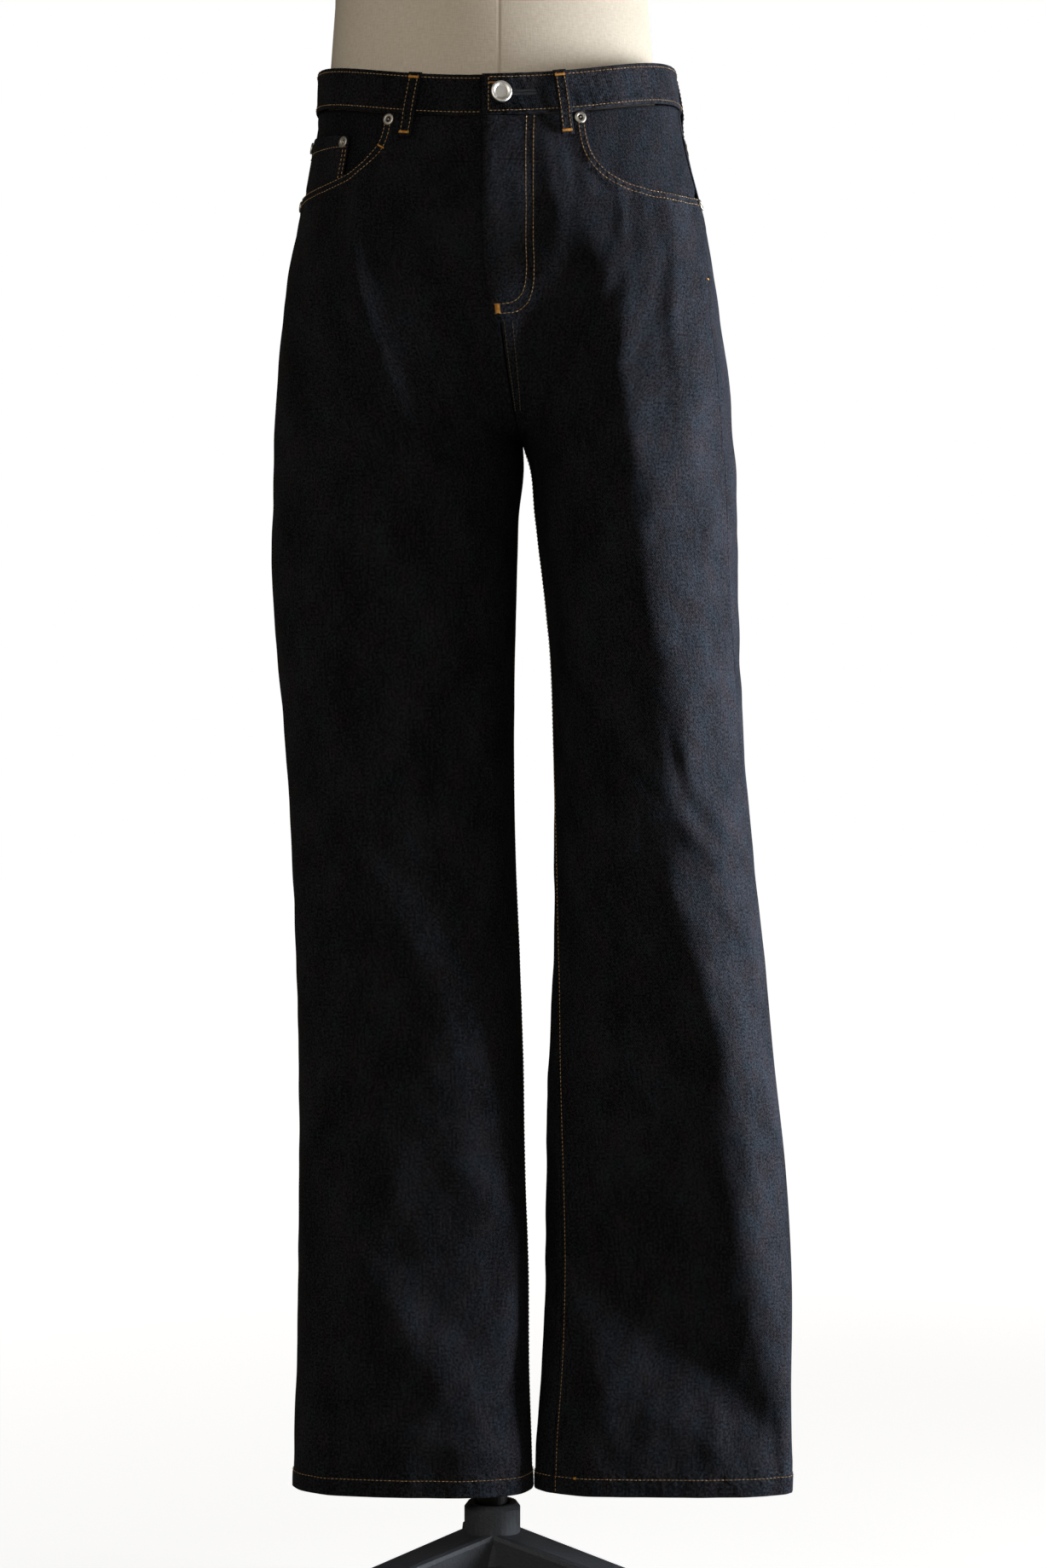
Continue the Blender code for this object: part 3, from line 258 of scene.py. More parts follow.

# %% [markdown]
# ## Folds and creases
#
# Heavy raw denim hangs in a few long soft folds, breaks at the knee and above the hem, and is never quite flat in
# between. A cloth simulation gives folds, but not these ones, and a light from the side shows every one of them.
# So each fold is laid one by one: a ridge or a trough along a line on the cloth, with a bell-shaped section, fading
# out at both ends. The first table has the folds, the larger of which the solids have in much the same places.
# The second has the creases between them, and a sum of faint waves keeps the rest from looking ironed.

# %% Folds, creases and waves
# Side, start u, start height, end u, end height, half width, rise (a trough is negative)
FOLDS = np.array([
    (-1, 0.206, 1.275, 0.192, 0.930, 0.014, 0.0052),
    (-1, 0.222, 1.235, 0.206, 1.080, 0.013, 0.0046),
    (-1, 0.208, 1.060, 0.196, 0.740, 0.017, 0.0030),
    (-1, 0.345, 0.712, 0.208, 0.580, 0.022, 0.0062),
    (-1, 0.235, 0.625, 0.162, 0.440, 0.024, 0.0050),
    (-1, 0.360, 0.650, 0.235, 0.500, 0.026, -0.0045),
    (-1, 0.190, 0.440, 0.055, 0.340, 0.016, 0.0034),
    (-1, 0.105, 0.372, 0.100, 0.255, 0.014, 0.0030),
    (-1, 0.360, 0.390, 0.200, 0.215, 0.020, 0.0050),
    (-1, 0.370, 0.320, 0.250, 0.215, 0.020, -0.0035),
    (-1, 0.330, 0.214, 0.040, 0.176, 0.013, 0.0026),
    (-1, 0.400, 1.060, 0.380, 0.780, 0.026, 0.0035),
    (1, 0.110, 1.215, 0.235, 1.080, 0.020, 0.0030),
    (1, 0.022, 1.125, 0.020, 1.000, 0.018, -0.0026),
    (1, 0.088, 1.280, 0.096, 1.125, 0.014, 0.0024),
    (1, 0.205, 1.165, 0.335, 0.960, 0.030, 0.0065),
    (1, 0.020, 0.330, 0.060, 0.060, 0.050, 0.0060),
    (1, 0.300, 1.030, 0.330, 0.700, 0.026, 0.0045),
    (1, 0.258, 0.680, 0.338, 0.490, 0.022, 0.0060),
    (1, 0.342, 0.600, 0.308, 0.220, 0.034, 0.0080),
    (1, 0.300, 0.730, 0.405, 0.675, 0.010, -0.0022),
    (1, 0.285, 0.706, 0.410, 0.654, 0.010, 0.0030),
    (1, -0.100, 0.440, 0.440, 0.165, 0.048, -0.0150),
    (1, 0.150, 0.308, 0.440, 0.178, 0.018, -0.0030),
    (-1, 0.690, 1.030, 0.760, 0.860, 0.024, -0.0060),
    (-1, 0.820, 1.000, 0.700, 0.800, 0.024, 0.0050),
    (-1, 0.640, 0.760, 0.800, 0.640, 0.022, -0.0050),
    (-1, 0.620, 0.690, 0.780, 0.560, 0.020, 0.0045),
    (-1, 0.660, 0.480, 0.800, 0.330, 0.024, 0.0045),
    (1, 0.700, 1.035, 0.780, 0.870, 0.024, -0.0060),
    (1, 0.830, 0.980, 0.720, 0.790, 0.024, 0.0050),
    (1, 0.650, 0.740, 0.810, 0.620, 0.022, -0.0050),
    (1, 0.790, 0.600, 0.640, 0.500, 0.020, 0.0045),
    (1, 0.780, 0.420, 0.660, 0.280, 0.024, 0.0045),
])
CREASES = np.array([
    (1, 0.218, 1.222, 0.232, 1.150, 0.007, 0.0012),
    (1, 0.036, 1.232, 0.044, 1.160, 0.006, 0.0009),
    (1, 0.118, 1.268, 0.120, 1.195, 0.005, 0.0010),
    (1, 0.350, 1.200, 0.440, 0.980, 0.012, 0.0022),
    (1, 0.324, 1.234, 0.466, 1.227, 0.003, -0.0014),
    (1, 0.228, 1.250, 0.330, 1.245, 0.006, -0.0010),
    (1, 0.312, 0.780, 0.324, 0.712, 0.006, -0.0016),
    (1, 0.345, 0.765, 0.332, 0.735, 0.006, 0.0012),
    (1, 0.330, 0.650, 0.440, 0.600, 0.007, 0.0012),
    (1, 0.180, 0.225, 0.330, 0.168, 0.010, 0.0010),
    (-1, 0.120, 1.190, 0.130, 1.060, 0.009, 0.0008),
    (-1, 0.300, 0.700, 0.215, 0.640, 0.008, -0.0014),
    (-1, 0.260, 0.560, 0.200, 0.470, 0.009, 0.0010),
    (-1, 0.225, 0.330, 0.160, 0.260, 0.009, -0.0010),
])

FOLD_GIRTH, FOLDS_FADE_BY, CREASES_FADE_BY = 0.52, 0.07, (0.03, 0.05)
WAVES = np.random.default_rng(7).uniform(size=(44, 4))
WAVE_LENGTHS, WAVE_STRETCH, WAVE_RISE = (0.016, 0.060), (1.15, 0.75), 0.00034 / 3


def fold_relief(table, side, u, height):
    """The sum of all ridges: rise * (1 - (2t - 1)^2) * exp(-(distance / half width)^2), t running 0 to 1 along each."""
    girth = leg_girth(height)
    lift = np.zeros(np.broadcast(u, height).shape)
    for _, u0, h0, u1, h1, half_width, rise in table[table[:, 0] == SIDES[side]]:
        across, down = (u - u0) * girth, height - h0
        along = np.array([(u1 - u0) * FOLD_GIRTH, h1 - h0])
        length = np.linalg.norm(along)
        t = (across * along[0] + down * along[1]) / length**2
        away = np.abs(across * along[1] - down * along[0]) / length
        lift = lift + rise * np.clip(1 - (2 * t - 1) ** 2, 0, 1) * np.exp(-((away / half_width) ** 2))
    return lift


def wave_relief(side, u, height):
    """A sum of faint sine waves of many lengths and directions, more of them across the leg than along it."""
    x = u * 0.5 + (0.7 if side == "left" else 0.0)
    lift = np.zeros(np.broadcast(u, height).shape)
    for turn, size, phase, weight in WAVES:
        length = WAVE_LENGTHS[0] + (WAVE_LENGTHS[1] - WAVE_LENGTHS[0]) * size**1.5
        way = (turn - 0.5) * np.pi * 0.9
        travel = x * math.cos(way) * WAVE_STRETCH[0] + height * math.sin(way) * WAVE_STRETCH[1]
        strength = length / WAVE_LENGTHS[1] * (0.4 + weight)
        lift = lift + strength * np.sin(2 * np.pi * (travel / length + phase))
    return WAVE_RISE * lift


print("folds:", len(FOLDS), "creases:", len(CREASES), "waves:", len(WAVES))

# %% [markdown]
# Cloth is then a point of the smooth garment, moved along its outward normal by the folds. The normal comes from
# the cross product of two small steps on the surface. Everything sewn to the jeans asks for its points here, by u
# and by metres down from the waist seam.

# %% The creased garment
STEP = 0.0012


def outward(points, side, u, height):
    """The unit normal out of the cloth: the cross product of a small step down and a small step round."""
    around = points(side, u + STEP, height) - points(side, u - STEP, height)
    down = points(side, u, height - STEP) - points(side, u, height + STEP)
    return unit(SIDES[side] * np.cross(down, around))


def folded(side, u, height, finer=0.0):
    """The smooth garment moved out by its folds, which fade at the inseam, and by a finer relief."""
    lift = fold_relief(FOLDS, side, u, height) * ease(np.minimum(u, 1 - u) / FOLDS_FADE_BY) + finer
    return smooth_cloth(side, u, height) + outward(smooth_cloth, side, u, height) * lift[..., None]


def creased(side, u, height):
    """The folded garment with creases and waves too, which fade at the seams and at the waist."""
    at_seams, at_waist = CREASES_FADE_BY
    fade = ease(np.minimum(np.minimum(u, 1 - u), np.abs(u - 0.5)) / at_seams) * ease((WAIST_SEAM - height) / at_waist)
    return folded(side, u, height, (fold_relief(CREASES, side, u, height) + wave_relief(side, u, height)) * fade)


def pair(a, b):
    """Two numbers or arrays, spread to one shape."""
    return np.broadcast_arrays(np.asarray(a, float), np.asarray(b, float))


def cloth(side, u, down, out=0.0):
    """Points of the cloth so many metres down, moved out by some metres, and their normals."""
    u, down = pair(u, down)
    normal = outward(creased, side, u, WAIST_SEAM - down)
    return creased(side, u, WAIST_SEAM - down) + normal * np.broadcast_to(out, u.shape)[..., None], normal


def round_turn(metres):
    """A width round the cloth as a share of a leg's girth."""
    return metres / 0.50


print("a point of the left thigh:", cloth("left", 0.25, 0.4 * LENGTH)[0].round(4))

# %% [markdown]
# ## Materials
#
# Raw denim has a dark indigo warp over an undyed weft, so close up it is near black with slate flecks along the
# twill. The shader works in the cloth's own UV map, which is in metres: across the panel and down the grain. Real
# twill lines are 0.7 mm apart, too fine for this distance, so they are drawn at 1.1 mm.

# %% Node helpers and finishes


def linear(code):
    """An sRGB hex colour as linear light: ((c + 0.055) / 1.055)^2.4, or c / 12.92 near black."""
    parts = [int(code[i : i + 2], 16) / 255 for i in (1, 3, 5)]
    return (*[c / 12.92 if c <= 0.04045 else ((c + 0.055) / 1.055) ** 2.4 for c in parts], 1.0)


def fill_in(tree, node, inputs):
    """Sets a node's inputs: to a value, or by a link where another node's output is given."""
    for name, value in inputs.items():
        if isinstance(value, bpy.types.NodeSocket):
            tree.links.new(value, node.inputs[name])
        else:
            node.inputs[name].default_value = value
    return node


def add(tree, kind, inputs=None, output=0, **settings):
    """Adds a node with its settings and inputs, and gives one of its outputs."""
    made = tree.nodes.new(f"ShaderNode{kind}")
    for name, value in settings.items():
        setattr(made, name, value)
    return fill_in(tree, made, inputs or {}).outputs[output]


def times(tree, a, b, operation="MULTIPLY"):
    """The product of two values, or another operation on them."""
    return add(tree, "Math", {0: a, 1: b}, operation=operation)


def plus(tree, a, b):
    """The sum of two values."""
    return times(tree, a, b, "ADD")


def mixed(tree, factor, a, b):
    """A colour between a and b."""
    return add(tree, "Mix", {0: factor, 6: a, 7: b}, 2, data_type="RGBA")


def stretched(tree, coordinates, scale, turn=0.0):
    """Coordinates multiplied along each axis, then turned in their plane."""
    return add(tree, "Mapping", {"Vector": coordinates, "Scale": scale, "Rotation": (0, 0, turn)})


def noise(tree, coordinates, scale, detail=2.0, roughness=0.5):
    """Smooth noise, with about as many spots to a metre along each axis as the scale says."""
    place = stretched(tree, coordinates, scale)
    return add(tree, "TexNoise", {"Vector": place, "Scale": 1.0, "Detail": detail, "Roughness": roughness})


def object_noise(tree, scale, detail, roughness=0.5):
    """The same for a piece with no map, in the object's own space."""
    return noise(tree, add(tree, "TexCoord", output="Object"), (scale, scale, scale), detail, roughness)


def ranged(tree, value, low, high, to_low=0.0, to_high=1.0):
    """A value moved from one range to another, and held inside it."""
    limits = {"Value": value, "From Min": low, "From Max": high, "To Min": to_low, "To Max": to_high}
    return add(tree, "MapRange", limits)


def bumped(tree, height, distance, strength=1.0, normal=None):
    """Relief of that height in metres, on top of another relief where one is given."""
    below = {} if normal is None else {"Normal": normal}
    return add(tree, "Bump", {"Height": height, "Distance": distance, "Strength": strength, **below})


def new_material(name):
    """A material and its node tree, empty but for its shader."""
    made = bpy.data.materials.new(name)
    made.use_nodes = True
    return made, made.node_tree


def shaded(made, inputs):
    """Sets the Principled shader's own inputs, by value or by link."""
    fill_in(made.node_tree, made.node_tree.nodes["Principled BSDF"], inputs)
    return made


def denim(name, dark, purple, fleck, pale_fleck):
    """Indigo warp with slate weft flecks: colour and relief from the same twill, slubs and grain."""
    made, tree = new_material(name)
    flat = add(tree, "UVMap", uv_map="cloth")
    lines = stretched(tree, flat, (285, 285, 1), math.radians(-32))
    twill = add(tree, "TexWave", {"Vector": lines, "Scale": 1.0, "Distortion": 1.6, "Detail": 1.0})
    slub, grain = noise(tree, flat, (560, 70, 1)), noise(tree, flat, (640, 520, 1), 3.0, 0.85)
    weave = plus(tree, plus(tree, times(tree, twill, 0.14), times(tree, slub, 0.16)), times(tree, grain, 0.84))
    cloud = ranged(tree, noise(tree, flat, (30, 16, 1)), 0.30, 0.70, 0.94, 1.06)
    flecked = ranged(tree, times(tree, weave, cloud), 0.49, 0.71)
    patch = ranged(tree, noise(tree, flat, (70, 45, 1), 1.0), 0.32, 0.68)
    warp = mixed(tree, patch, linear(dark), linear(purple))
    weft = mixed(tree, patch, linear(fleck), linear(pale_fleck))
    pucker = add(tree, "Attribute", output="Fac", attribute_name="pucker")
    ripple = times(tree, noise(tree, flat, (120, 150, 1), 1.0), pucker)
    relief = bumped(tree, noise(tree, flat, (34, 46, 1), 2.0, 0.45), 0.0006)
    relief = bumped(tree, ripple, 0.0028, normal=relief)
    return shaded(made, {
        "Base Color": mixed(tree, flecked, warp, weft),
        "Roughness": 0.86,
        "Specular IOR Level": 0.14,
        "Sheen Weight": 0.06,
        "Sheen Roughness": 0.45,
        "Sheen Tint": linear("#8c94a8"),
        "Normal": bumped(tree, weave, 0.00040, 0.8, relief),
    })


def thread(name, colour, pale):
    """Lustrous corespun thread: a little paler in places, with its twist too fine to show."""
    made, tree = new_material(name)
    spots = ranged(tree, object_noise(tree, 420, 1.0), 0.35, 0.65)
    return shaded(made, {
        "Base Color": mixed(tree, spots, linear(colour), linear(pale)),
        "Roughness": 0.50,
        "Specular IOR Level": 0.45,
        "Sheen Weight": 0.15,
    })


def metal(name, colour, roughness, wear):
    """Plated metal whose gloss varies a little, with faint marks of handling."""
    made, tree = new_material(name)
    marks = object_noise(tree, 900, 3.0)
    return shaded(made, {
        "Base Color": linear(colour),
        "Metallic": 1.0,
        "Roughness": ranged(tree, marks, 0.3, 0.7, roughness, roughness + wear),
        "Normal": bumped(tree, marks, 0.00004),
    })


def linen_cover():
    """Ecru cover cloth: a plain weave of slubs about 1 mm wide and 6 mm long, and each panel's seam pressed in."""
    made, tree = new_material("ecru linen cover")
    flat = add(tree, "UVMap", uv_map="cloth")
    weave = plus(tree, noise(tree, flat, (900, 160, 1)), noise(tree, flat, (160, 900, 1)))
    tone = ranged(tree, noise(tree, flat, (14, 14, 1), 3.0), 0.3, 0.7)
    groove = ranged(tree, add(tree, "Attribute", output="Fac", attribute_name="seam_away"), 0.0004, 0.0022)
    colour = mixed(tree, ranged(tree, weave, 0.7, 1.3), linear("#c6bcac"), linear("#d8d0c2"))
    colour = mixed(tree, times(tree, tone, 0.3), colour, linear("#c4b9a7"))
    return shaded(made, {
        "Base Color": mixed(tree, groove, linear("#b9ae9d"), colour),
        "Roughness": 0.9,
        "Specular IOR Level": 0.2,
        "Sheen Weight": 0.1,
        "Normal": bumped(tree, weave, 0.0002, 0.8, bumped(tree, groove, 0.0004)),
    })


def coated(name, colours, metallic, roughness, grain, relief):
    """Paint or bare casting: two colours, grains of so many to a metre, and their relief in metres."""
    made, tree = new_material(name)
    grains = object_noise(tree, grain, 4.0, 0.6)
    return shaded(made, {
        "Base Color": mixed(tree, grains, linear(colours[0]), linear(colours[1])),
        "Metallic": metallic,
        "Roughness": ranged(tree, grains, 0.3, 0.7, roughness, roughness + 0.15),
        "Normal": bumped(tree, grains, relief),
    })


RAW_DENIM = denim("raw indigo denim", "#0e1116", "#131217", "#5a6576", "#61606d")
FACING_DENIM = denim("raw indigo denim, facing", "#0d1014", "#111115", "#4e5a6a", "#575663")


TOPSTITCH = thread("tobacco topstitch thread", "#a47d48", "#d0af7d")
TACK_THREAD = thread("orange bartack thread", "#b87a20", "#dca03c")
# The rise rows use the same topstitch thread, its colour darkened as painted shade for the fold's shadow between the
# legs
RISE_THREAD_PAINTED_SHADE = thread("topstitch thread darkened as painted shade", "#5a4932", "#6f5f47")
HOLE_THREAD = thread("dark buttonhole thread", "#161c24", "#26323a")
NICKEL = metal("plated nickel rivet", "#c4c1ba", 0.46, 0.14)
BUTTON = metal("brushed silver tack button", "#f4f3f0", 0.42, 0.10)
LINEN = linen_cover()
ENAMEL = coated("black enamelled steel", ("#1a1c20", "#24262a"), 0.2, 0.38, 300, 0.00004)
IRON = coated("rough cast iron", ("#30343a", "#484d55"), 0.3, 0.50, 420, 0.0006)
print("materials:", len(bpy.data.materials))

# %% [markdown]
# ## Building blocks
#
# Each cloth piece is a grid of points on its outer face and a Solidify inward, so its wall has a true thickness and
# its edges show it. The grid carries a UV map in metres, measured from the piece's own middle, since the warp runs
# straight down a panel however the panel widens.

# %% Grids, walls, turned pieces and closed rings


def new_object(name, data):
    """An object in the scene."""
    made = bpy.data.objects.new(name, data)
    bpy.context.scene.collection.objects.link(made)
    return made


def mesh_object(name, points, faces, finish):
    """A smooth-shaded object from points and faces."""
    mesh = bpy.data.meshes.new(name)
    mesh.from_pydata(points.reshape(-1, 3).tolist(), [], faces)
    mesh.shade_smooth()
    mesh.materials.append(finish)
    return new_object(name, mesh)


def add_map(mesh, quads, flat, **attributes):
    """Adds the UV map in metres, with end faces at its origin, and one value a point for each attribute."""
    corners = np.zeros((len(mesh.loops), 2), np.float32)
    corners[: quads.size] = flat.reshape(-1, 2)[quads.ravel()]
    mesh.uv_layers.new(name="cloth").uv.foreach_set("vector", corners.ravel())
    for label, values in attributes.items():
        values = np.broadcast_to(values, flat.shape[:2]).astype(np.float32)
        mesh.attributes.new(label, "FLOAT", "POINT").data.foreach_set("value", values.ravel())


def flat_map(points, down):
    """Metres across from the middle column, measured along the cloth, and metres down."""
    across = travelled(points)
    across = across - across[:, across.shape[1] // 2][:, None]
    return np.stack(np.broadcast_arrays(across, down), axis=-1)


def dress(made, node, slot):
    """Sets what every piece needs: the body it rides on, the record's slot and the solid it stands for."""
    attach(made, "root")
    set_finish(made, slot)
    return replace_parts(made, node) if node else made


def cloth_piece(node, points, down, thickness, side="left", pucker=0.0, finish=RAW_DENIM):
    """A sewn piece: its outer face as a grid and its wall inward. Its cut is that face laid flat, up to its seams.
    On the right half the columns run the other way round, so the faces are turned."""
    rows, across = points.shape[:2]
    index = np.arange(rows * across).reshape(rows, across)
    a, b, c, d = index[:-1, :-1], index[:-1, 1:], index[1:, 1:], index[1:, :-1]
    quads = np.stack((a, d, c, b) if side == "left" else (a, b, c, d), axis=-1).reshape(-1, 4)
    made = mesh_object(f"cloth_{node}", points, quads.tolist(), finish)
    flat = flat_map(points, down)
    add_map(made.data, quads, flat, pucker=pucker)
    wall = made.modifiers.new("cloth", "SOLIDIFY")
    wall.thickness, wall.offset = thickness, -1.0
    dress(made, node, "raw_denim" if finish is RAW_DENIM else "raw_denim_facing")


def turned(name, profile, segments, finish, point, normal, node, slot):
    """A turned piece: its profile of (radius, height), top to bottom, swept round the normal at a point."""
    radius, height = np.array(profile).T
    angle = 2 * np.pi * np.arange(segments) / segments
    normal = unit(normal)
    side_way = unit(np.cross(normal, (0.0, 0.0, 1.0)))
    up_way = np.cross(side_way, normal)
    ring = np.cos(angle)[:, None] * side_way + np.sin(angle)[:, None] * up_way
    points = point + radius[:, None, None] * ring + height[:, None, None] * normal
    dress(mesh_object(name, points, ring_faces(len(radius), segments, flip=True), finish), node, slot)


def ring_faces(rings, around, flip=False):
    """Faces between closed rings, bottom to top, and a flat face on each end."""
    index = np.arange(rings * around).reshape(rings, around)
    a, b = index[:-1], index[1:]
    sides = np.stack([a, np.roll(a, -1, axis=1), np.roll(b, -1, axis=1), b], axis=-1).reshape(-1, 4)
    if flip:
        return sides[:, ::-1].tolist() + [index[0].tolist(), index[-1][::-1].tolist()]
    return sides.tolist() + [index[0][::-1].tolist(), index[-1].tolist()]


print("blocks are ready")

# %% [markdown]
# ## Edges and seams
#
# A sewn edge is turned under, so its last millimetre rolls away and the cloth beside it, doubled by the allowance
# inside, stands a little proud. That pair of marks is what makes a seam read as a seam.

# %% Turned edges and seam allowances
EDGE_RADIUS, EDGE_ROLL = 0.0010, 0.8
ALLOWANCE, ALLOWANCE_RISE, ALLOWANCE_SOFT = 0.010, 0.0006, 0.004
HEM_TURN, HEM_RISE, HEM_SOFT = 0.014, 0.0008, 0.003
# How proud the cloth stands over the allowances of a seam, of a patch or pocket's mouth, and of the yoke
SEAM_RISE, PATCH_RISE, YOKE_RISE = 0.0007, 0.0005, 0.0008
PUCKER_REACH, ROWS_MIDDLE = 0.009, 0.004
SEAM_U = round_turn(0.00001)
CLOTH, LAYER_GAP, UNDER_GAP, TRIM_GAP, SEAM_GAP = 0.0015, 0.0010, 0.0012, 0.0004, 0.0003
BODY_METRES_A_TURN = (CROTCH, 1.20), (0.55, 0.45)
# Where points crowd beside an edge, and where the even ones begin
ENDS, EVEN_FROM = np.array([0.0, 0.0003, 0.0007, 0.0013, 0.0025]), 0.005


def turned_edge(*aways):
    """How far a point has rolled under at edges so many metres away: quarters of circles over the last millimetre."""
    reaches = [np.clip(1 - away / EDGE_RADIUS, 0, 1) for away in aways]
    return -EDGE_RADIUS * EDGE_ROLL * sum(1 - np.sqrt(1 - reach**2) for reach in reaches)


def proud(away, rise=ALLOWANCE_RISE):
    """How far the allowance inside lifts the cloth: full to its edge, and gone a little further."""
    return rise * (1 - ease((away - ALLOWANCE) / ALLOWANCE_SOFT))


def hem_rise(hem):
    """How far the hem folded up inside lifts the cloth."""
    return HEM_RISE * (1 - ease((hem - HEM_TURN + 0.001) / HEM_SOFT))


def puckered(*aways):
    """How much the cloth ripples from its stitches: exp(-(distance / reach)^2) of the nearest row."""
    return np.exp(-((np.minimum.reduce(np.broadcast_arrays(*aways)) / PUCKER_REACH) ** 2))


def packed(count, width):
    """Shares from 0 to 1 with a few points close to both ends, where the edges roll under."""
    ends, even = ENDS / width, EVEN_FROM / width
    return np.concatenate([ends, np.linspace(even, 1 - even, count), 1 - ends[::-1]])


def metres_round(down):
    """Metres to a turn of u at each height: half the body above, from two heights, and a leg's girth below."""
    height = WAIST_SEAM - down
    return np.where(height > CROTCH, np.interp(height, *BODY_METRES_A_TURN), leg_girth(height))


print("a turned edge rolls", turned_edge(np.array([0.0, 0.5e-3, 1e-3])).round(5))

# %% [markdown]
# ## Fronts
#
# A front is cut away at the top for the pocket's mouth, a quarter of a squared oval from the waist to the outseam.
# The left front carries the fly: it laps over the right one and stands proud of it as far as the J of stitches.

# %% Fronts
# Where the mouth starts at the waist (u), how deep it is at the outseam, and how square its curve is
SCOOPS = {"right": (0.183, 0.069, 2.7), "left": (0.170, 0.075, 3.4)}
# The fly's rise at its edge, at its outer row and below; it is full from 35 mm down and falls from 70 to 125 mm
FLY_WIDTH, FLY_LENGTH, FLY_SOFT = 0.031, 0.176, 0.009
FLY_STEP, FLY_FAR_STEP, FLY_LOW_STEP, FLY_AT_BAND = 0.0074, 0.0006, 0.0015, 0.65
FLY_FULL_BY, FLY_FALLS_FROM, FLY_FALLS_WITHIN = 0.035, 0.070, 0.055
FLY_OVER = np.array([(0.000, 0.003), (0.060, 0.004), (0.130, 0.007), (0.158, 0.0062), (0.178, 0.0050), (0.188, 0.000)])
# Metres to a turn of u there, where the inseam's allowance begins, and where the grid's rows turn level
FRONT_TURN, INSEAM_FROM, INSEAM_WITHIN, JOIN_DOWN = 0.47, 0.25, 0.03, 0.105


def scoop_down(side, u):
    """How far down the pocket's mouth reaches: depth * (1 - (1 - share)^power)^(1 / power)."""
    start, depth, power = SCOOPS[side]
    share = np.clip((u - start) / (0.5 - SEAM_U - start), 0, 1)
    return depth * (1 - (1 - share) ** power) ** (1 / power)


def scoop_u(side, down):
    """The same curve read the other way: where the mouth's edge is at that depth."""
    start, depth, power = SCOOPS[side]
    reach = np.clip(down / depth, 0, 1)
    return start + (0.5 - SEAM_U - start) * (1 - (1 - reach**power) ** (1 / power))


def from_scoop(side, u, down):
    """Metres from the mouth's edge: a b / sqrt(a^2 + b^2), for the distances a straight up and b straight across."""
    up = np.maximum(down - scoop_down(side, u), 0)
    across = np.maximum((scoop_u(side, down) - u) * FRONT_TURN, 0)
    across = np.where(down < SCOOPS[side][1], across, 1.0)
    return np.where(u > SCOOPS[side][0], up * across / np.maximum(np.hypot(up, across), 1e-9), across)


def fly_edge(down):
    """Where the left front begins: past the centre seam by its overlap."""
    return SEAM_U - np.interp(down, FLY_OVER[:, 0], FLY_OVER[:, 1]) / FRONT_TURN


def fly_lift(side, u, down):
    """How far the left front is raised over the fly: most at its edge, then a step at its outer row, round below."""
    if side == "right":
        return np.zeros(np.broadcast(u, down).shape)
    below = np.clip((down - FLY_LENGTH + FLY_WIDTH) / FLY_WIDTH, 0, 1)
    inside = FLY_WIDTH * np.sqrt(1 - below**2) + FLY_SOFT - u * FRONT_TURN
    edge = FLY_STEP * (FLY_AT_BAND + (1 - FLY_AT_BAND) * ease(down / FLY_FULL_BY))
    edge = edge + (FLY_LOW_STEP - edge) * ease((down - FLY_FALLS_FROM) / FLY_FALLS_WITHIN)
    step = edge + (FLY_FAR_STEP - edge) * np.clip(u * FRONT_TURN / FLY_WIDTH, 0, 1)
    return step * ease(inside / FLY_SOFT) * ease((FLY_LENGTH + FLY_SOFT - down) / FLY_SOFT)


def front_aways(side, u, down):
    """Metres from each edge of a front: its centre or inseam, its outseam, the pocket's mouth and the hem."""
    inner, metres = fly_edge(down) if side == "left" else SEAM_U, metres_round(down)
    return (u - inner) * metres, (0.5 - SEAM_U - u) * metres, from_scoop(side, u, down), LENGTH - down


def on_front(side, u, down, out=0.0):
    """Points and normals on a front, with its fly, its turned edges, its allowances and its hem."""
    u, down = pair(u, down)
    inner, outer, mouth, hem = front_aways(side, u, down)
    lift = fly_lift(side, u, down) + proud(outer) + proud(mouth, PATCH_RISE) + hem_rise(hem)
    lift = lift + proud(inner, SEAM_RISE) * ease((down - INSEAM_FROM) / INSEAM_WITHIN)
    return cloth(side, u, down, lift + turned_edge(inner, outer, mouth, hem) + out)


def front(side):
    """A front's grid: columns packed at its seams and under the mouth's steep start, rows packed at its edges."""
    start = SCOOPS[side][0]
    beside, under = (start - SEAM_U) / 2, (0.5 - SEAM_U - start) / 2
    u_row = SEAM_U + 2 * np.concatenate([
        ENDS,
        np.linspace(EVEN_FROM, beside, 22),
        beside + (under - 0.004) * np.linspace(0, 1, 42)[1:] ** 1.7,
        beside + under - ENDS[::-1],
    ])
    top = np.maximum(scoop_down(side, u_row), SEAM_GAP)
    below = top + ENDS[-1]
    upper = below + (JOIN_DOWN - below) * np.linspace(0, 1, 30)[:, None]
    lower = np.concatenate([np.linspace(JOIN_DOWN, LENGTH - EVEN_FROM, 275)[1:], LENGTH - ENDS[::-1]])
    down = np.concatenate([top + ENDS[:-1, None], upper, lower[:, None] + 0 * u_row])
    u = u_row + 0 * down
    if side == "left":
        u = u + (fly_edge(down) - SEAM_U) * (1 - ease((u - SEAM_U) / 0.05))
    inner, outer, mouth, hem = front_aways(side, u, down)
    rows = puckered(outer, np.abs(mouth - ROWS_MIDDLE), np.abs(hem - HEM_TURN), inner)
    cloth_piece(f"front_{side}", on_front(side, u, down)[0], down, CLOTH, side, rows)


for side in SIDES:
    front(side)

# %% [markdown]
# ## Backs, yokes and back pockets
#
# The yoke is the wedge that shapes the seat. Its lower edge laps the back in a felled seam. Each back pocket is a
# patch with its edges turned under, a shallow point below, and a hem along its mouth.

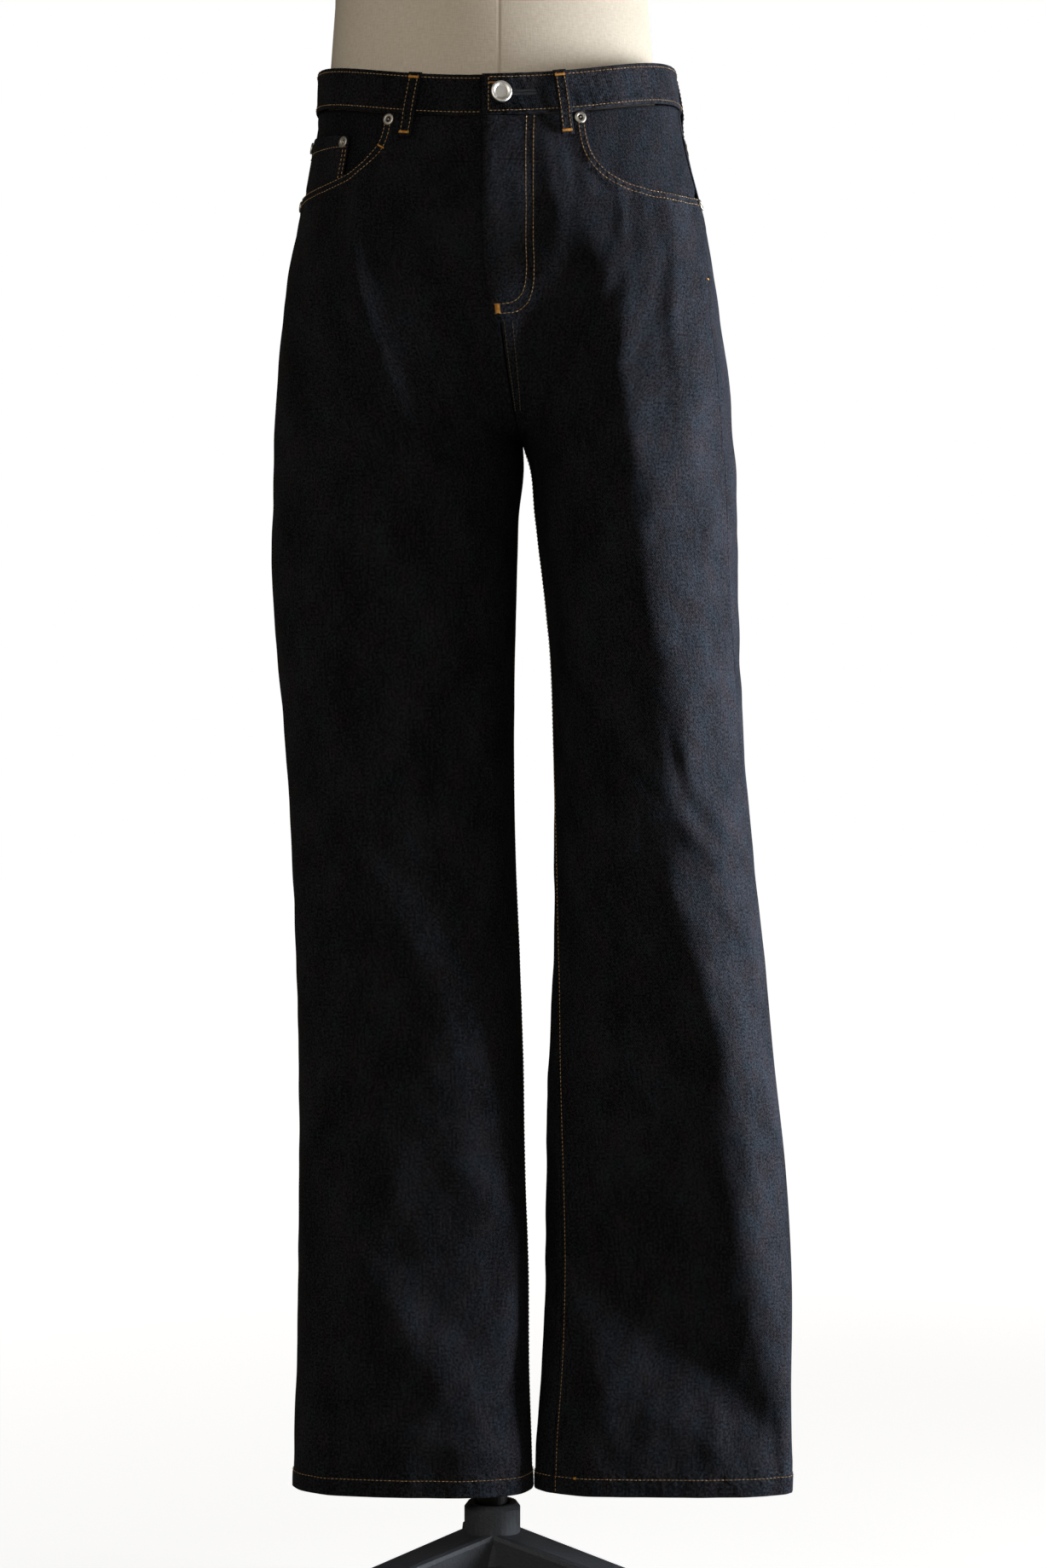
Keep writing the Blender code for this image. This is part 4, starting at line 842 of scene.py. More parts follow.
# %% Backs, yokes and back pockets
YOKE_AT_SIDE, YOKE_AT_BACK, SEAT_ENDS = 0.034, 0.072, 0.262
POCKET_WIDTH, POCKET_HEIGHT, POCKET_POINT, POCKET_CLOTH = 0.150, 0.158, 0.026, 0.0014
POCKET_BELOW_YOKE, POCKET_NARROWS, POCKET_HEM, POCKET_HEM_RISE = 0.014, 0.10, 0.011, 0.0007
# The middle's u, and the metres to a turn of u there
POCKETS = {"right": (0.781, 0.537), "left": (0.801, 0.627)}


def yoke_edge(u):
    """How far down the yoke's lower seam is: shallow at the outseam, deep at the centre back."""
    return YOKE_AT_SIDE + (YOKE_AT_BACK - YOKE_AT_SIDE) * (u - 0.5) / 0.5


def back_aways(u, down):
    """Metres from a back's or yoke's outseam and its seat seam or inseam, and metres below the yoke's edge."""
    metres = metres_round(down)
    return (u - 0.5 - SEAM_U) * metres, (1 - SEAM_U - u) * metres, down - yoke_edge(u)


def back_lift(u, down):
    """A back's relief: turned edges, and allowances at the outseam, the seat seam and the hem."""
    outer, inner, top = back_aways(u, down)
    lift = proud(outer) + proud(inner, SEAM_RISE) + hem_rise(LENGTH - down)
    return lift + turned_edge(outer, inner, top, LENGTH - down)


def yoke_lift(u, down):
    """A yoke's relief: its lower edge is turned under and stands proud over the felled seam."""
    outer, inner, above = back_aways(u, down)
    return proud(-above, YOKE_RISE) + proud(inner, SEAM_RISE) + turned_edge(outer, inner, -above)


def on_back(side, u, down, out=0.0):
    """Points and normals on a back, or on its yoke above the seam."""
    u, down = pair(u, down)
    return cloth(side, u, down, np.where(down > yoke_edge(u), back_lift(u, down), yoke_lift(u, down)) + out)


def back(side):
    """A back and its yoke, on the same columns."""
    u_row = 0.5 + SEAM_U + (0.5 - 2 * SEAM_U) * packed(58, 0.25)
    metres_in, metres_out = (1 - SEAM_U - u_row) * 0.5, (u_row - 0.5 - SEAM_U) * 0.5
    seam = yoke_edge(u_row)
    share = np.concatenate([packed(28, 0.20)[:-4], [1.0]])[:, None]
    upper = seam + SEAM_GAP + (SEAT_ENDS - seam) * share
    lower = np.concatenate([np.linspace(SEAT_ENDS + 0.004, LENGTH - EVEN_FROM, 236), LENGTH - ENDS[::-1]])
    down = np.concatenate([upper, lower[:, None] + 0 * u_row])
    points, _ = cloth(side, u_row, down, back_lift(u_row + 0 * down, down))
    rows = puckered(metres_in, metres_out, np.abs(LENGTH - down - HEM_TURN))
    cloth_piece(f"back_{side}", points, down, CLOTH, side, rows)
    down = SEAM_GAP + (seam - SEAM_GAP) * packed(18, 0.05)[:, None]
    points, _ = cloth(side, u_row, down, yoke_lift(u_row + 0 * down, down))
    rows = puckered(metres_in, seam - down - ROWS_MIDDLE)
    cloth_piece(f"yoke_{side}", points, down, CLOTH, side, rows)


def pocket_place(side, across, share):
    """u and metres down on a back pocket, a little narrower below, with a point."""
    half = POCKET_WIDTH / 2 * (1 - POCKET_NARROWS * share)
    middle, metres = POCKETS[side]
    u = middle + across * half / metres
    return u, yoke_edge(u) + POCKET_BELOW_YOKE + (POCKET_HEIGHT - POCKET_POINT * np.abs(across)) * share


def pocket_aways(across, share):
    """Metres from a back pocket's nearest side or lower edge, and from its mouth."""
    return np.minimum((1 - np.abs(across)) * POCKET_WIDTH / 2, (1 - share) * POCKET_HEIGHT), share * POCKET_HEIGHT


def on_pocket(side, across, share, out=0.0):
    """Points and normals on a back pocket, a layer over the back: across runs -1 to 1 and the share down 0 to 1."""
    across, share = pair(across, share)
    edge, top = pocket_aways(across, share)
    lift = LAYER_GAP + POCKET_CLOTH + proud(edge, PATCH_RISE) + turned_edge(edge, top)
    lift = lift + POCKET_HEM_RISE * (1 - ease((top - POCKET_HEM) / HEM_SOFT))
    return cloth(side, *pocket_place(side, across, share), lift + out)


def back_pocket(side):
    """A patch pocket's grid."""
    across, share = 2 * packed(44, POCKET_WIDTH)[None, :] - 1, packed(46, POCKET_HEIGHT)[:, None]
    edge, top = pocket_aways(across, share)
    points, down = on_pocket(side, across, share)[0], pocket_place(side, across, share)[1]
    rows = puckered(edge, np.abs(top - POCKET_HEM))
    cloth_piece(f"back_pocket_{side}", points, down, POCKET_CLOTH, side, rows)


for side in SIDES:
    back(side)
    back_pocket(side)

# %% [markdown]
# ## Pocket facings and the coin pocket
#
# Behind each mouth lies the facing, a layer down. The coin pocket is a patch on the right one, and its lower edge
# goes under the front.

# %% Pocket facings and the coin pocket
FACING_DROP, FACING_UNDER, FACING_RISES = 0.0175, 0.012, (0.36, 0.009)
COIN_LAYER, COIN_TOP, COIN_START, COIN_CLOTH = (0.003, 0.016), 0.021, 0.272, 0.0012


def under_front(side, u, down):
    """How far a piece behind the mouth lies below the surface: a layer at the edge, nothing at the outseam."""
    start, above = FACING_RISES
    rise = ease((u - start) / (0.5 - start)) * ease((scoop_down(side, u) - down) / above)
    return (CLOTH + UNDER_GAP) * (1 - rise)


def on_facing(side, u, down):
    """Points on a facing, a layer deeper under the coin pocket."""
    u, down = pair(u, down)
    depth = under_front(side, u, down)
    if side == "right":
        start, length = COIN_LAYER
        depth = depth + (COIN_CLOTH + UNDER_GAP) * ease((down - start) / length)
    return cloth(side, u, down, -depth + turned_edge((0.5 - SEAM_U - u) * 0.5))[0]


def on_coin_pocket(u, down, out=0.0):
    """Points and normals on the coin pocket, its top and front edges turned under."""
    u, down = pair(u, down)
    top, front_edge = down - COIN_TOP, (u - COIN_START) * 0.5
    lift = turned_edge(top, front_edge) + proud(np.minimum(top, front_edge), PATCH_RISE)
    return cloth("right", u, down, out + lift - under_front("right", u, down))


for side in SIDES:
    start = SCOOPS[side][0]
    u_row = start + (0.5 - SEAM_U - start) * np.linspace(0, 1, 46) ** 1.7
    u_row = np.concatenate([[start - round_turn(FACING_UNDER)], u_row])
    down = SEAM_GAP + (scoop_down(side, u_row) + FACING_DROP - SEAM_GAP) * np.linspace(0, 1, 36)[:, None]
    points = on_facing(side, u_row, down)
    cloth_piece(
        f"pocket_facing_{side}", points, down, CLOTH, side, finish=FACING_DENIM
    )
u_row = COIN_START + (0.5 - 2 * SEAM_U - COIN_START) * packed(34, 0.11)
bottom = scoop_down("right", u_row) + FACING_DROP - 0.002
down = COIN_TOP + (bottom - COIN_TOP) * packed(22, 0.06)[:, None]
points, _ = on_coin_pocket(u_row, down)
rows = puckered(down - COIN_TOP, (u_row - COIN_START) * 0.5)
cloth_piece("coin_pocket", points, down, COIN_CLOTH, "right", rows)

# %% [markdown]
# ## Waistband and belt loops
#
# One strip goes all round, and its right end lies under its left end at the centre front, where the button is.
# Each loop is a narrow strip, tacked at the top and below the band, and arched between.

# %% Waistband and belt loops
BAND_HEIGHT, BAND_OUT, BAND_IN, BAND_CROWN = 0.033, 0.0012, 0.0018, 0.0003
BAND_UNDERLAP, BAND_OVERLAP, BAND_STEP, BAND_STEP_TURNS = 0.036, 0.003, 0.0036, (0.000, 0.090)
BAND_EDGE_RISE, BAND_WAVE, BAND_WAVES = 0.0004, 0.00025, (0.011, 9, 7.3)
WAIST_GIRTH = 0.83
LOOP_WIDTH, LOOP_BELOW_SEAM, LOOP_CLOTH, LOOP_GAP, LOOP_ARCH = 0.0115, 0.019, 0.0016, 0.0006, 0.0022
LOOP_ABOVE_BAND, LOOP_LENGTH, LOOP_CROWN, LOOP_STEP = 0.0004, 0.052, 0.0005, 0.006
# Middle and lean in turns round the waist, and the metres to a turn there
LOOPS = {
    "front_left": (0.0632, 0.0056, 0.90),
    "side_left": (0.300, 0.000, 0.86),
    "centre_back": (0.500, 0.000, 1.22),
    "side_right": (0.700, 0.000, 0.83),
    "front_right": (0.9357, -0.0094, 0.92),
}


def round_body(turn, height):
    """The body all round, in turns from the centre front over the left side: the two halves, one after the other."""
    turn = turn % 1.0
    u = np.where(turn < 0.5, 2 * turn, 2 - 2 * turn)
    on_left = (turn < 0.5)[..., None]
    points = np.where(on_left, folded("left", u, height), folded("right", u, height))
    return points, np.where(on_left, outward(folded, "left", u, height), outward(folded, "right", u, height))


def band_step(turn):
    """How far the band's left end is raised where its right end lies under it."""
    start, end = BAND_STEP_TURNS
    return BAND_STEP * ease((end - turn) / (end - start))


def on_band(turn, height, out=0.0):
    """Points and normals on the waistband, its long edges and its left end turned under, and faintly roped."""
    turn, height = pair(turn, height)
    points, normals = round_body(turn, height)
    share = (height - WAIST_SEAM) / BAND_HEIGHT
    edge = np.minimum(height - WAIST_SEAM, WAIST_SEAM + BAND_HEIGHT - height)
    lift = BAND_OUT + band_step(turn) + BAND_CROWN * np.sin(np.pi * np.clip(share, 0, 1))
    lift = lift + turned_edge(edge, turn * WAIST_GIRTH + BAND_OVERLAP)
    lift = lift + BAND_EDGE_RISE * (1 - ease((edge - 0.004) / 0.003))
    length, slant, turns = BAND_WAVES
    rope = np.sin(2 * np.pi * turn * WAIST_GIRTH / length + slant * share) * np.sin(2 * np.pi * turn * turns)
    return points + normals * (lift + BAND_WAVE * rope + out)[..., None], normals


turn = np.concatenate([
    (ENDS - BAND_OVERLAP) / WAIST_GIRTH, np.linspace(0.002, 1 + BAND_UNDERLAP / WAIST_GIRTH, 300)
])
height = WAIST_SEAM + BAND_HEIGHT * (1 - packed(12, BAND_HEIGHT)[:, None])
points, _ = on_band(turn, height)
rows = puckered(BAND_HEIGHT - np.abs(height - WAIST_SEAM - BAND_HEIGHT / 2) - BAND_HEIGHT / 2 - 0.003)
cloth_piece("waistband", points, WAIST_SEAM - height, BAND_OUT + BAND_IN, pucker=rows)


def on_loop(place, across, share, out=0.0):
    """Points and normals on a belt loop: across runs -1 to 1 and the share down 0 to 1."""
    across, share = pair(across, share)
    turn, lean, metres = LOOPS[place]
    top, bottom = WAIST_SEAM + BAND_HEIGHT + LOOP_ABOVE_BAND, WAIST_SEAM - LOOP_BELOW_SEAM
    height = top + (bottom - top) * share
    points, normals = round_body(turn + lean * (share - 0.5) + across / 2 * LOOP_WIDTH / metres, height)
    clear = LOOP_GAP + (BAND_OUT + float(band_step(turn))) * ease((height - WAIST_SEAM + LOOP_STEP) / LOOP_STEP)
    arch = LOOP_ARCH * np.sin(np.pi * share) ** 0.7 + LOOP_CROWN * (1 - across**2)
    edge = np.minimum((1 - np.abs(across)) * LOOP_WIDTH / 2, np.minimum(share, 1 - share) * (top - bottom))
    return points + normals * (clear + arch + LOOP_CLOTH + turned_edge(edge) + out)[..., None], normals


for place in LOOPS:
    across, share = 2 * packed(6, LOOP_WIDTH)[None, :] - 1, packed(22, LOOP_LENGTH)[:, None]
    rows = puckered((1 - np.abs(across)) * LOOP_WIDTH / 2)
    cloth_piece(
        f"belt_loop_{place}", on_loop(place, across, share)[0], share * LOOP_LENGTH, LOOP_CLOTH,
        pucker=rows,
    )

# %% [markdown]
# ## Topstitching
#
# The rows of tobacco thread are what the eye reads first on raw denim. A row is a smooth path on a piece, cut into
# stitches of equal length. Each stitch is a short tube whose ends dip into the cloth. A bartack is a row of
# tight crosswise stitches. They are one mesh for each seam, since separate objects would be thousands.

# %% Stitches
STITCH_PITCH, STITCH_LENGTH, THREAD_RADIUS = 0.0033, 0.0023, 0.00025
TACK_PITCH, SATIN_RADIUS = 0.00055, 0.00030
STITCH_RINGS, STITCH_SIDES, STITCH_ARCH, STITCH_SINK, STITCH_TAPER = 5, 6, 1.1, 0.5, 0.85
THREAD_SLOT, THREAD_OUT = "topstitch_thread", 0.0002


def tube_rings(centre, up, radius):
    """Rings of points round the middles of stitches, whose ends dip and narrow."""
    t = np.linspace(0, 1, STITCH_RINGS)
    side_way = np.cross(unit(np.gradient(centre, axis=1)), up)
    arch = radius * (STITCH_ARCH * np.sin(np.pi * t) - STITCH_SINK)
    thick = radius * np.sqrt(1 - (STITCH_TAPER * (2 * t - 1)) ** 2)
    angle = 2 * np.pi * np.arange(STITCH_SIDES) / STITCH_SIDES
    ring = np.cos(angle)[:, None] * side_way[:, :, None] + np.sin(angle)[:, None] * up[:, :, None]
    return (centre + up * arch[:, None])[:, :, None] + thick[:, None, None] * ring


def row(on, *place):
    """Stitches of equal length along a path on a piece, which on(*place, out) gives with the cloth's normals."""
    points, normals = on(*place, THREAD_OUT)
    along = travelled(points)
    count = max(int(along[-1] / STITCH_PITCH), 1)
    starts = (np.arange(count) + 0.5) * along[-1] / count - STITCH_LENGTH / 2
    where = np.clip(starts[:, None] + STITCH_LENGTH * np.linspace(0, 1, STITCH_RINGS), 0, along[-1])
    centre, up = (
        np.stack([np.interp(where, along, values[:, k]) for k in range(3)], axis=-1) for values in (points, normals)
    )
    return tube_rings(centre, up, THREAD_RADIUS)


def tack(surface, middle, along, length, width=0.0022):
    """A bartack: tight crosswise stitches, on a surface(a, b) of two numbers, from its middle along a direction."""
    (a, b), (da, db) = middle, along
    forward = np.arange(-length / 2, length / 2, TACK_PITCH)[:, None]
    across = np.linspace(-width / 2, width / 2, STITCH_RINGS)
    return tube_rings(*surface(a + forward * da - across * db, b + forward * db + across * da), SATIN_RADIUS)


def sew(name, rows, finish):
    """One mesh of all the stitches of a seam."""
    blocks = np.concatenate(rows)
    size = STITCH_RINGS * STITCH_SIDES
    one = np.array(ring_faces(STITCH_RINGS, STITCH_SIDES)[:-2])
    first = np.arange(len(blocks))[:, None, None] * size
    caps = np.stack([np.arange(STITCH_SIDES)[::-1], size - STITCH_SIDES + np.arange(STITCH_SIDES)])
    faces = (one + first).reshape(-1, 4).tolist() + (caps + first).reshape(-1, STITCH_SIDES).tolist()
    dress(mesh_object(f"stitches_{name}", blocks, faces, finish), None, THREAD_SLOT)
    print(f"stitches_{name}: {len(blocks)} stitches")


def front_row(side, keys):
    """Stitches on a front along a smooth curve through keys of u and metres down, read at even steps of its length."""
    keys = np.array(keys, float)
    return row(on_front, side, *smoothed(np.column_stack([travelled(keys * (0.5, 1.0)), keys]), 240)[:, 1:].T)


def scoop_row(side, inside):
    """A row along a pocket's mouth, that far inside its edge: the curve moved along its own normal."""
    start = SCOOPS[side][0]
    u = start + (0.5 - SEAM_U - start) * np.linspace(0, 1, 300) ** 1.9
    x, y = u * FRONT_TURN, scoop_down(side, u)
    dx, dy = np.gradient(x), np.gradient(y)
    size = np.hypot(dx, dy)
    x, y = x - inside * dy / size, y + inside * dx / size
    shown = (y > 0.0015) & (x < (0.5 - SEAM_U) * FRONT_TURN)
    return row(on_front, side, x[shown] / FRONT_TURN, y[shown])


FLY_ROWS = (
    (
        (0.060, 0.000), (0.0545, 0.040), (0.0485, 0.081), (0.0435, 0.120), (0.0405, 0.146), (0.0365, 0.158),
        (0.0285, 0.1665), (0.0170, 0.1712), (0.0040, 0.1728), (-0.0070, 0.1732),
    ),
    (
        (0.073, 0.000), (0.0670, 0.040), (0.0605, 0.081), (0.0550, 0.120), (0.0525, 0.146), (0.0485, 0.161),
        (0.0385, 0.1722), (0.0235, 0.1784), (0.0040, 0.1800), (-0.0070, 0.1802),
    ),
)
# How far inside an edge the two rows of a seam run
MOUTH_ROWS, SEAM_ROWS, POCKET_ROWS, COIN_ROWS = (0.0016, 0.0066), (0.0020, 0.0075), (0.0016, 0.0076), (0.0018, 0.0070)
INSEAM_ROW, BAND_ROWS, LOOP_ROW = 0.0040, (BAND_HEIGHT - 0.0032, 0.0030), 0.58
sew("pocket_mouths", [scoop_row(side, inside) for side in SIDES for inside in MOUTH_ROWS], TOPSTITCH)
sew("fly", [front_row("left", keys) for keys in FLY_ROWS], TOPSTITCH)
rows = [front_row("left", [(round_turn(inside), down) for down in (0.186, 0.215, 0.250)]) for inside in SEAM_ROWS]
# The rise rows are sewn in the thread darkened as painted shade
sew("rise", rows, RISE_THREAD_PAINTED_SHADE)
keys = [(round_turn(INSEAM_ROW), down) for down in np.linspace(0.275, LENGTH - 0.0015, 12)]
sew("inseams", [front_row(side, keys) for side in SIDES], TOPSTITCH)
rows = []
for side in SIDES:
    rows.append(row(on_front, side, np.linspace(0.004, 0.496, 400), LENGTH - HEM_TURN))
    rows.append(row(on_back, side, np.linspace(0.504, 0.996, 400), LENGTH - HEM_TURN))
sew("hems", rows, TOPSTITCH)
u, down = np.linspace(0.503, 0.997, 300), np.linspace(0.002, SEAT_ENDS, 300)
rows = [row(on_back, side, u, yoke_edge(u) - inside) for side in SIDES for inside in SEAM_ROWS]
rows += [row(on_back, "left", 1 - round_turn(inside), down) for inside in SEAM_ROWS]
sew("yokes_and_seat", rows, TOPSTITCH)
rows = []
for side in SIDES:
    for inside in POCKET_ROWS:
        across, low = 1 - inside / (POCKET_WIDTH / 2), 1 - inside / POCKET_HEIGHT
        rows += [row(on_pocket, side, one * across, np.linspace(0.01, low, 120)) for one in (-1, 1)]
        rows += [row(on_pocket, side, one * np.linspace(0, across, 120), low) for one in (-1, 1)]
    rows.append(row(on_pocket, side, np.linspace(-0.97, 0.97, 160), POCKET_HEM / POCKET_HEIGHT))
sew("back_pockets", rows, TOPSTITCH)
u, down = np.linspace(COIN_START + 0.004, 0.492, 160), np.linspace(COIN_TOP + 0.011, 0.066, 160)
rows = [row(on_coin_pocket, u, COIN_TOP + 0.009 + 0.006 * (u - COIN_START) / 0.22)]
rows += [row(on_coin_pocket, COIN_START + round_turn(inside), down) for inside in COIN_ROWS]
sew("coin_pocket", rows, TOPSTITCH)
rows = [row(on_band, np.linspace(0.0005, 0.995, 900), WAIST_SEAM + up) for up in BAND_ROWS]
rows.append(row(on_band, 0.0004, WAIST_SEAM + np.linspace(0.003, BAND_HEIGHT - 0.003, 60)))
for place in LOOPS:
    rows += [row(on_loop, place, across, np.linspace(0.04, 0.96, 80)) for across in (-LOOP_ROW, LOOP_ROW)]
sew("waistband", rows, TOPSTITCH)

# %% Bartacks and the buttonhole
rows = []
for side in SIDES:
    start = SCOOPS[side][0]
    surface = lambda x, y, side=side: on_front(side, x / FRONT_TURN, y, THREAD_OUT)
    if side == "right":
        u = start + (0.5 - start) * 0.03
        middle = (u * FRONT_TURN - 0.0042, scoop_down(side, u) + 0.002)
        rows.append(tack(surface, middle, (0.93, -0.36), 0.0062, 0.0014))
    rows.append(tack(surface, (0.4945 * FRONT_TURN, 0.146), (1.0, 0.0), 0.004, 0.0014))
# The loop ends with the left side, whose front has the last two
rows.append(tack(surface, (-0.0010, FLY_LENGTH + 0.0004), (0.0, 1.0), 0.0070, 0.0028))
rows.append(tack(surface, (0.0225, LENGTH - HEM_TURN), (1.0, 0.0), 0.0020))
for place in LOOPS:
    surface = lambda x, y, place=place: on_loop(place, x / (LOOP_WIDTH / 2), y / LOOP_LENGTH, THREAD_OUT)
    rows += [tack(surface, (0.0, share * LOOP_LENGTH), (1.0, 0.0), 0.0088) for share in (0.085, 0.940)]
for side in SIDES:
    surface = lambda x, y, side=side: on_pocket(side, x / (POCKET_WIDTH / 2), y / POCKET_HEIGHT, THREAD_OUT)
    rows += [tack(surface, (one * 0.0705, 0.0060), (0.0, 1.0), 0.0090) for one in (-1, 1)]
surface = lambda x, y: on_band(x / WAIST_GIRTH, WAIST_SEAM + y, THREAD_OUT)
rows.append(tack(surface, (0.0030, BAND_HEIGHT - 0.0075), (1.0, 0.0), 0.0050, 0.0012))
sew("bartacks", rows, TACK_THREAD)
BUTTON_TURN, BUTTON_UP, HOLE_LENGTH = 0.0095, BAND_HEIGHT * 0.52, 0.024
hole_x = BUTTON_TURN * WAIST_GIRTH + HOLE_LENGTH / 2
rows = [tack(surface, (hole_x, BUTTON_UP + one * 0.0013), (1.0, 0.0), HOLE_LENGTH, 0.0024) for one in (-1, 1)]
sew("buttonhole", rows, HOLE_THREAD)

# %% [markdown]
# ## Rivets and the button
#
# Turned metal: a rivet is a flat burr with a countersunk middle, and the tack button is a dished cap with a rolled
# rim, on a shank that comes up through the buttonhole.

# %% Rivets and the button
RIVET_RADIUS, RIVET_HEIGHT, RIVET_IN, SCOOP_RIVET_IN = 0.0047, 0.0022, 0.0055, 0.010
SIDE_RIVET_U, COIN_SIDE_U, COIN_RIVET_IN = 0.486, 0.484, 0.014
# The button leans towards the wearer's left on its shank, pulled by the buttonhole
BUTTON_RADIUS, BUTTON_HEIGHT, BUTTON_LEAN, BUTTON_RAISED = 0.0085, 0.0036, math.radians(16.0), 0.0012
# Shares of the radius and of the height, from the middle out
RIVET_PROFILE = np.array([
    (0.02, 0.62), (0.09, 0.60), (0.14, 0.48), (0.17, -0.10), (0.44, -0.10), (0.47, 0.30), (0.51, 0.50), (0.60, 0.56),
    (0.82, 0.55), (0.94, 0.46), (1, 0.26), (1, -0.1),
]) * (RIVET_RADIUS, RIVET_HEIGHT)
BUTTON_PROFILE = np.array([
    (0.02, 0.80), (0.30, 0.79), (0.50, 0.77), (0.58, 0.74), (0.64, 0.82), (0.72, 0.94), (0.82, 1), (0.91, 0.96),
    (0.975, 0.84), (1, 0.68), (0.97, 0.54), (0.88, 0.46), (0.42, 0.42), (0.40, -0.1),
]) * (BUTTON_RADIUS, BUTTON_HEIGHT)


def set_rivet(node, on, *place, raised=0.0):
    """A rivet on a piece, its axis along the cloth's normal."""
    turned(node, RIVET_PROFILE, 28, NICKEL, *on(*place, TRIM_GAP + raised), node, "nickel_trim")


for side, (start, depth, _) in SCOOPS.items():
    set_rivet(f"rivet_scoop_top_{side}", cloth, side, start - SCOOP_RIVET_IN, RIVET_IN)
    set_rivet(f"rivet_scoop_side_{side}", cloth, side, SIDE_RIVET_U, depth + RIVET_IN, raised=0.001)
set_rivet("rivet_coin_front", on_coin_pocket, COIN_START + COIN_RIVET_IN, COIN_TOP + RIVET_IN)
set_rivet("rivet_coin_side", on_coin_pocket, COIN_SIDE_U, COIN_TOP + RIVET_IN)
point, normal = on_band(BUTTON_TURN, WAIST_SEAM + BUTTON_UP, TRIM_GAP + BUTTON_RAISED)
leaning = np.array(Matrix.Rotation(BUTTON_LEAN, 3, "Z")) @ normal
turned("waist_button_cap", BUTTON_PROFILE, 56, BUTTON, point, leaning, "waist_button", "button_metal")
print("rivets: 6, and the button at", point.round(4))

# %% [markdown]
# ## Dress form and stand
#
# The form is papier-mache padded and covered with linen in four panels, so a seam runs down its front, sides and
# back. Below the waistband the jeans hide it. Pole, neck plate and casting keep their solids and get their paint.

# %% Dress form
# Height, half width, front and back
FORM = np.array([
    (1.098, 0.1180, -0.0760, 0.0900),
    (1.101, 0.1370, -0.0880, 0.1060),
    (1.112, 0.1480, -0.0960, 0.1180),
    (1.132, 0.1562, -0.1000, 0.1310),
    (1.155, 0.1568, -0.1010, 0.1352),
    (1.175, 0.1530, -0.1000, 0.1330),
    (1.195, 0.1465, -0.0980, 0.1270),
    (1.230, 0.1390, -0.0950, 0.1150),
    (1.270, 0.1345, -0.0920, 0.1040),
    (1.310, 0.1325, -0.0900, 0.0960),
    (1.365, 0.1285, -0.0890, 0.0910),
    (1.420, 0.1280, -0.0900, 0.0890),
    (1.480, 0.1310, -0.0980, 0.0930),
    (1.550, 0.1450, -0.1100, 0.1010),
    (1.620, 0.1590, -0.1160, 0.1080),
    (1.680, 0.1690, -0.1120, 0.1080),
    (1.725, 0.1760, -0.0980, 0.1000),
    (1.750, 0.1720, -0.0860, 0.0920),
    (1.768, 0.1530, -0.0760, 0.0850),
    (1.782, 0.1230, -0.0690, 0.0780),
    (1.796, 0.0930, -0.0640, 0.0710),
    (1.815, 0.0720, -0.0600, 0.0650),
    (1.840, 0.0620, -0.0570, 0.0600),
    (1.875, 0.0590, -0.0550, 0.0580),
])
FORM_TURN, FORM_COLUMNS, FORM_RADIUS = math.radians(8.0), 192, 0.14
angle = 2 * np.pi * np.arange(FORM_COLUMNS) / FORM_COLUMNS
height = np.concatenate([np.linspace(1.098, 1.112, 10), np.linspace(1.115, 1.700, 130), np.linspace(1.703, 1.875, 60)])
half, front_y, back_y = (column[:, None] for column in read_at(FORM, height, 1, 2, 3))
x, y = half * np.cos(angle), np.where(np.sin(angle) < 0, -front_y, back_y) * np.sin(angle)
turned_x = x * math.cos(FORM_TURN) - y * math.sin(FORM_TURN)
turned_y = x * math.sin(FORM_TURN) + y * math.cos(FORM_TURN)
points = np.stack([turned_x, turned_y, np.broadcast_to(height[:, None], x.shape)], axis=-1) + POLE_AXIS
faces = ring_faces(len(height), FORM_COLUMNS)
form = mesh_object("form_cover", points, faces, LINEN)
seam_away = np.abs((angle / (np.pi / 2) + 0.5) % 1.0 - 0.5) * (np.pi / 2) * FORM_RADIUS
flat = np.stack(np.broadcast_arrays(angle * FORM_RADIUS, height[:, None]), axis=-1)
add_map(form.data, np.array(faces[:-2]), flat, seam_away=seam_away)
dress(form, "dress_form", "linen_cover")
print("form_cover:", len(height), "rings")

# %% Pole, neck plate and stand
STAND_FINISHES = {"pole": ENAMEL, "neck_plate": ENAMEL, "stand_base": IRON}
for node, finish in STAND_FINISHES.items():
    frame["nodes"][node].material_slots[0].material = finish
print("stand's finishes:", {node: finish.name for node, finish in STAND_FINISHES.items()})

# %% [markdown]
# ## Floor, light and camera
#
# The photograph is a cut-out on white: one tall soft light from the viewer's right, level with the hips, and very
# little fill, so half of every fold is near black. A card in front is flagged off the denim, and lights only the
# form, the metal and the thread. The floor and the background are white without lighting the cloth.

# %% Floor and background
scene = bpy.context.scene
scene.view_settings.view_transform = "Standard"
WHITE, FILL, WARM = (1.0, 1.0, 1.0, 1.0), 0.080, (1.0, 0.86, 0.66, 1.0)
scene.world = bpy.data.worlds.new("studio")
scene.world.use_nodes = True
tree = scene.world.node_tree
seen = add(tree, "LightPath", output="Is Camera Ray")
light = {"Strength": ranged(tree, seen, 0.0, 1.0, FILL, 1.0), "Color": mixed(tree, seen, WARM, WHITE)}
fill_in(tree, tree.nodes["Background"], light)
FLOOR = 20.0
made, tree = new_material("white studio floor")
far = add(tree, "VectorMath", {0: add(tree, "TexCoord", output="Object")}, "Value", operation="LENGTH")
shaded(made, {
    "Base Color": (0.75, 0.75, 0.75, 1.0),
    "Roughness": 0.9,
    "Specular IOR Level": 0.0,
    "Emission Color": WHITE,
    "Emission Strength": ranged(tree, far, 0.5, 2.2, 0.80, 1.0),
})
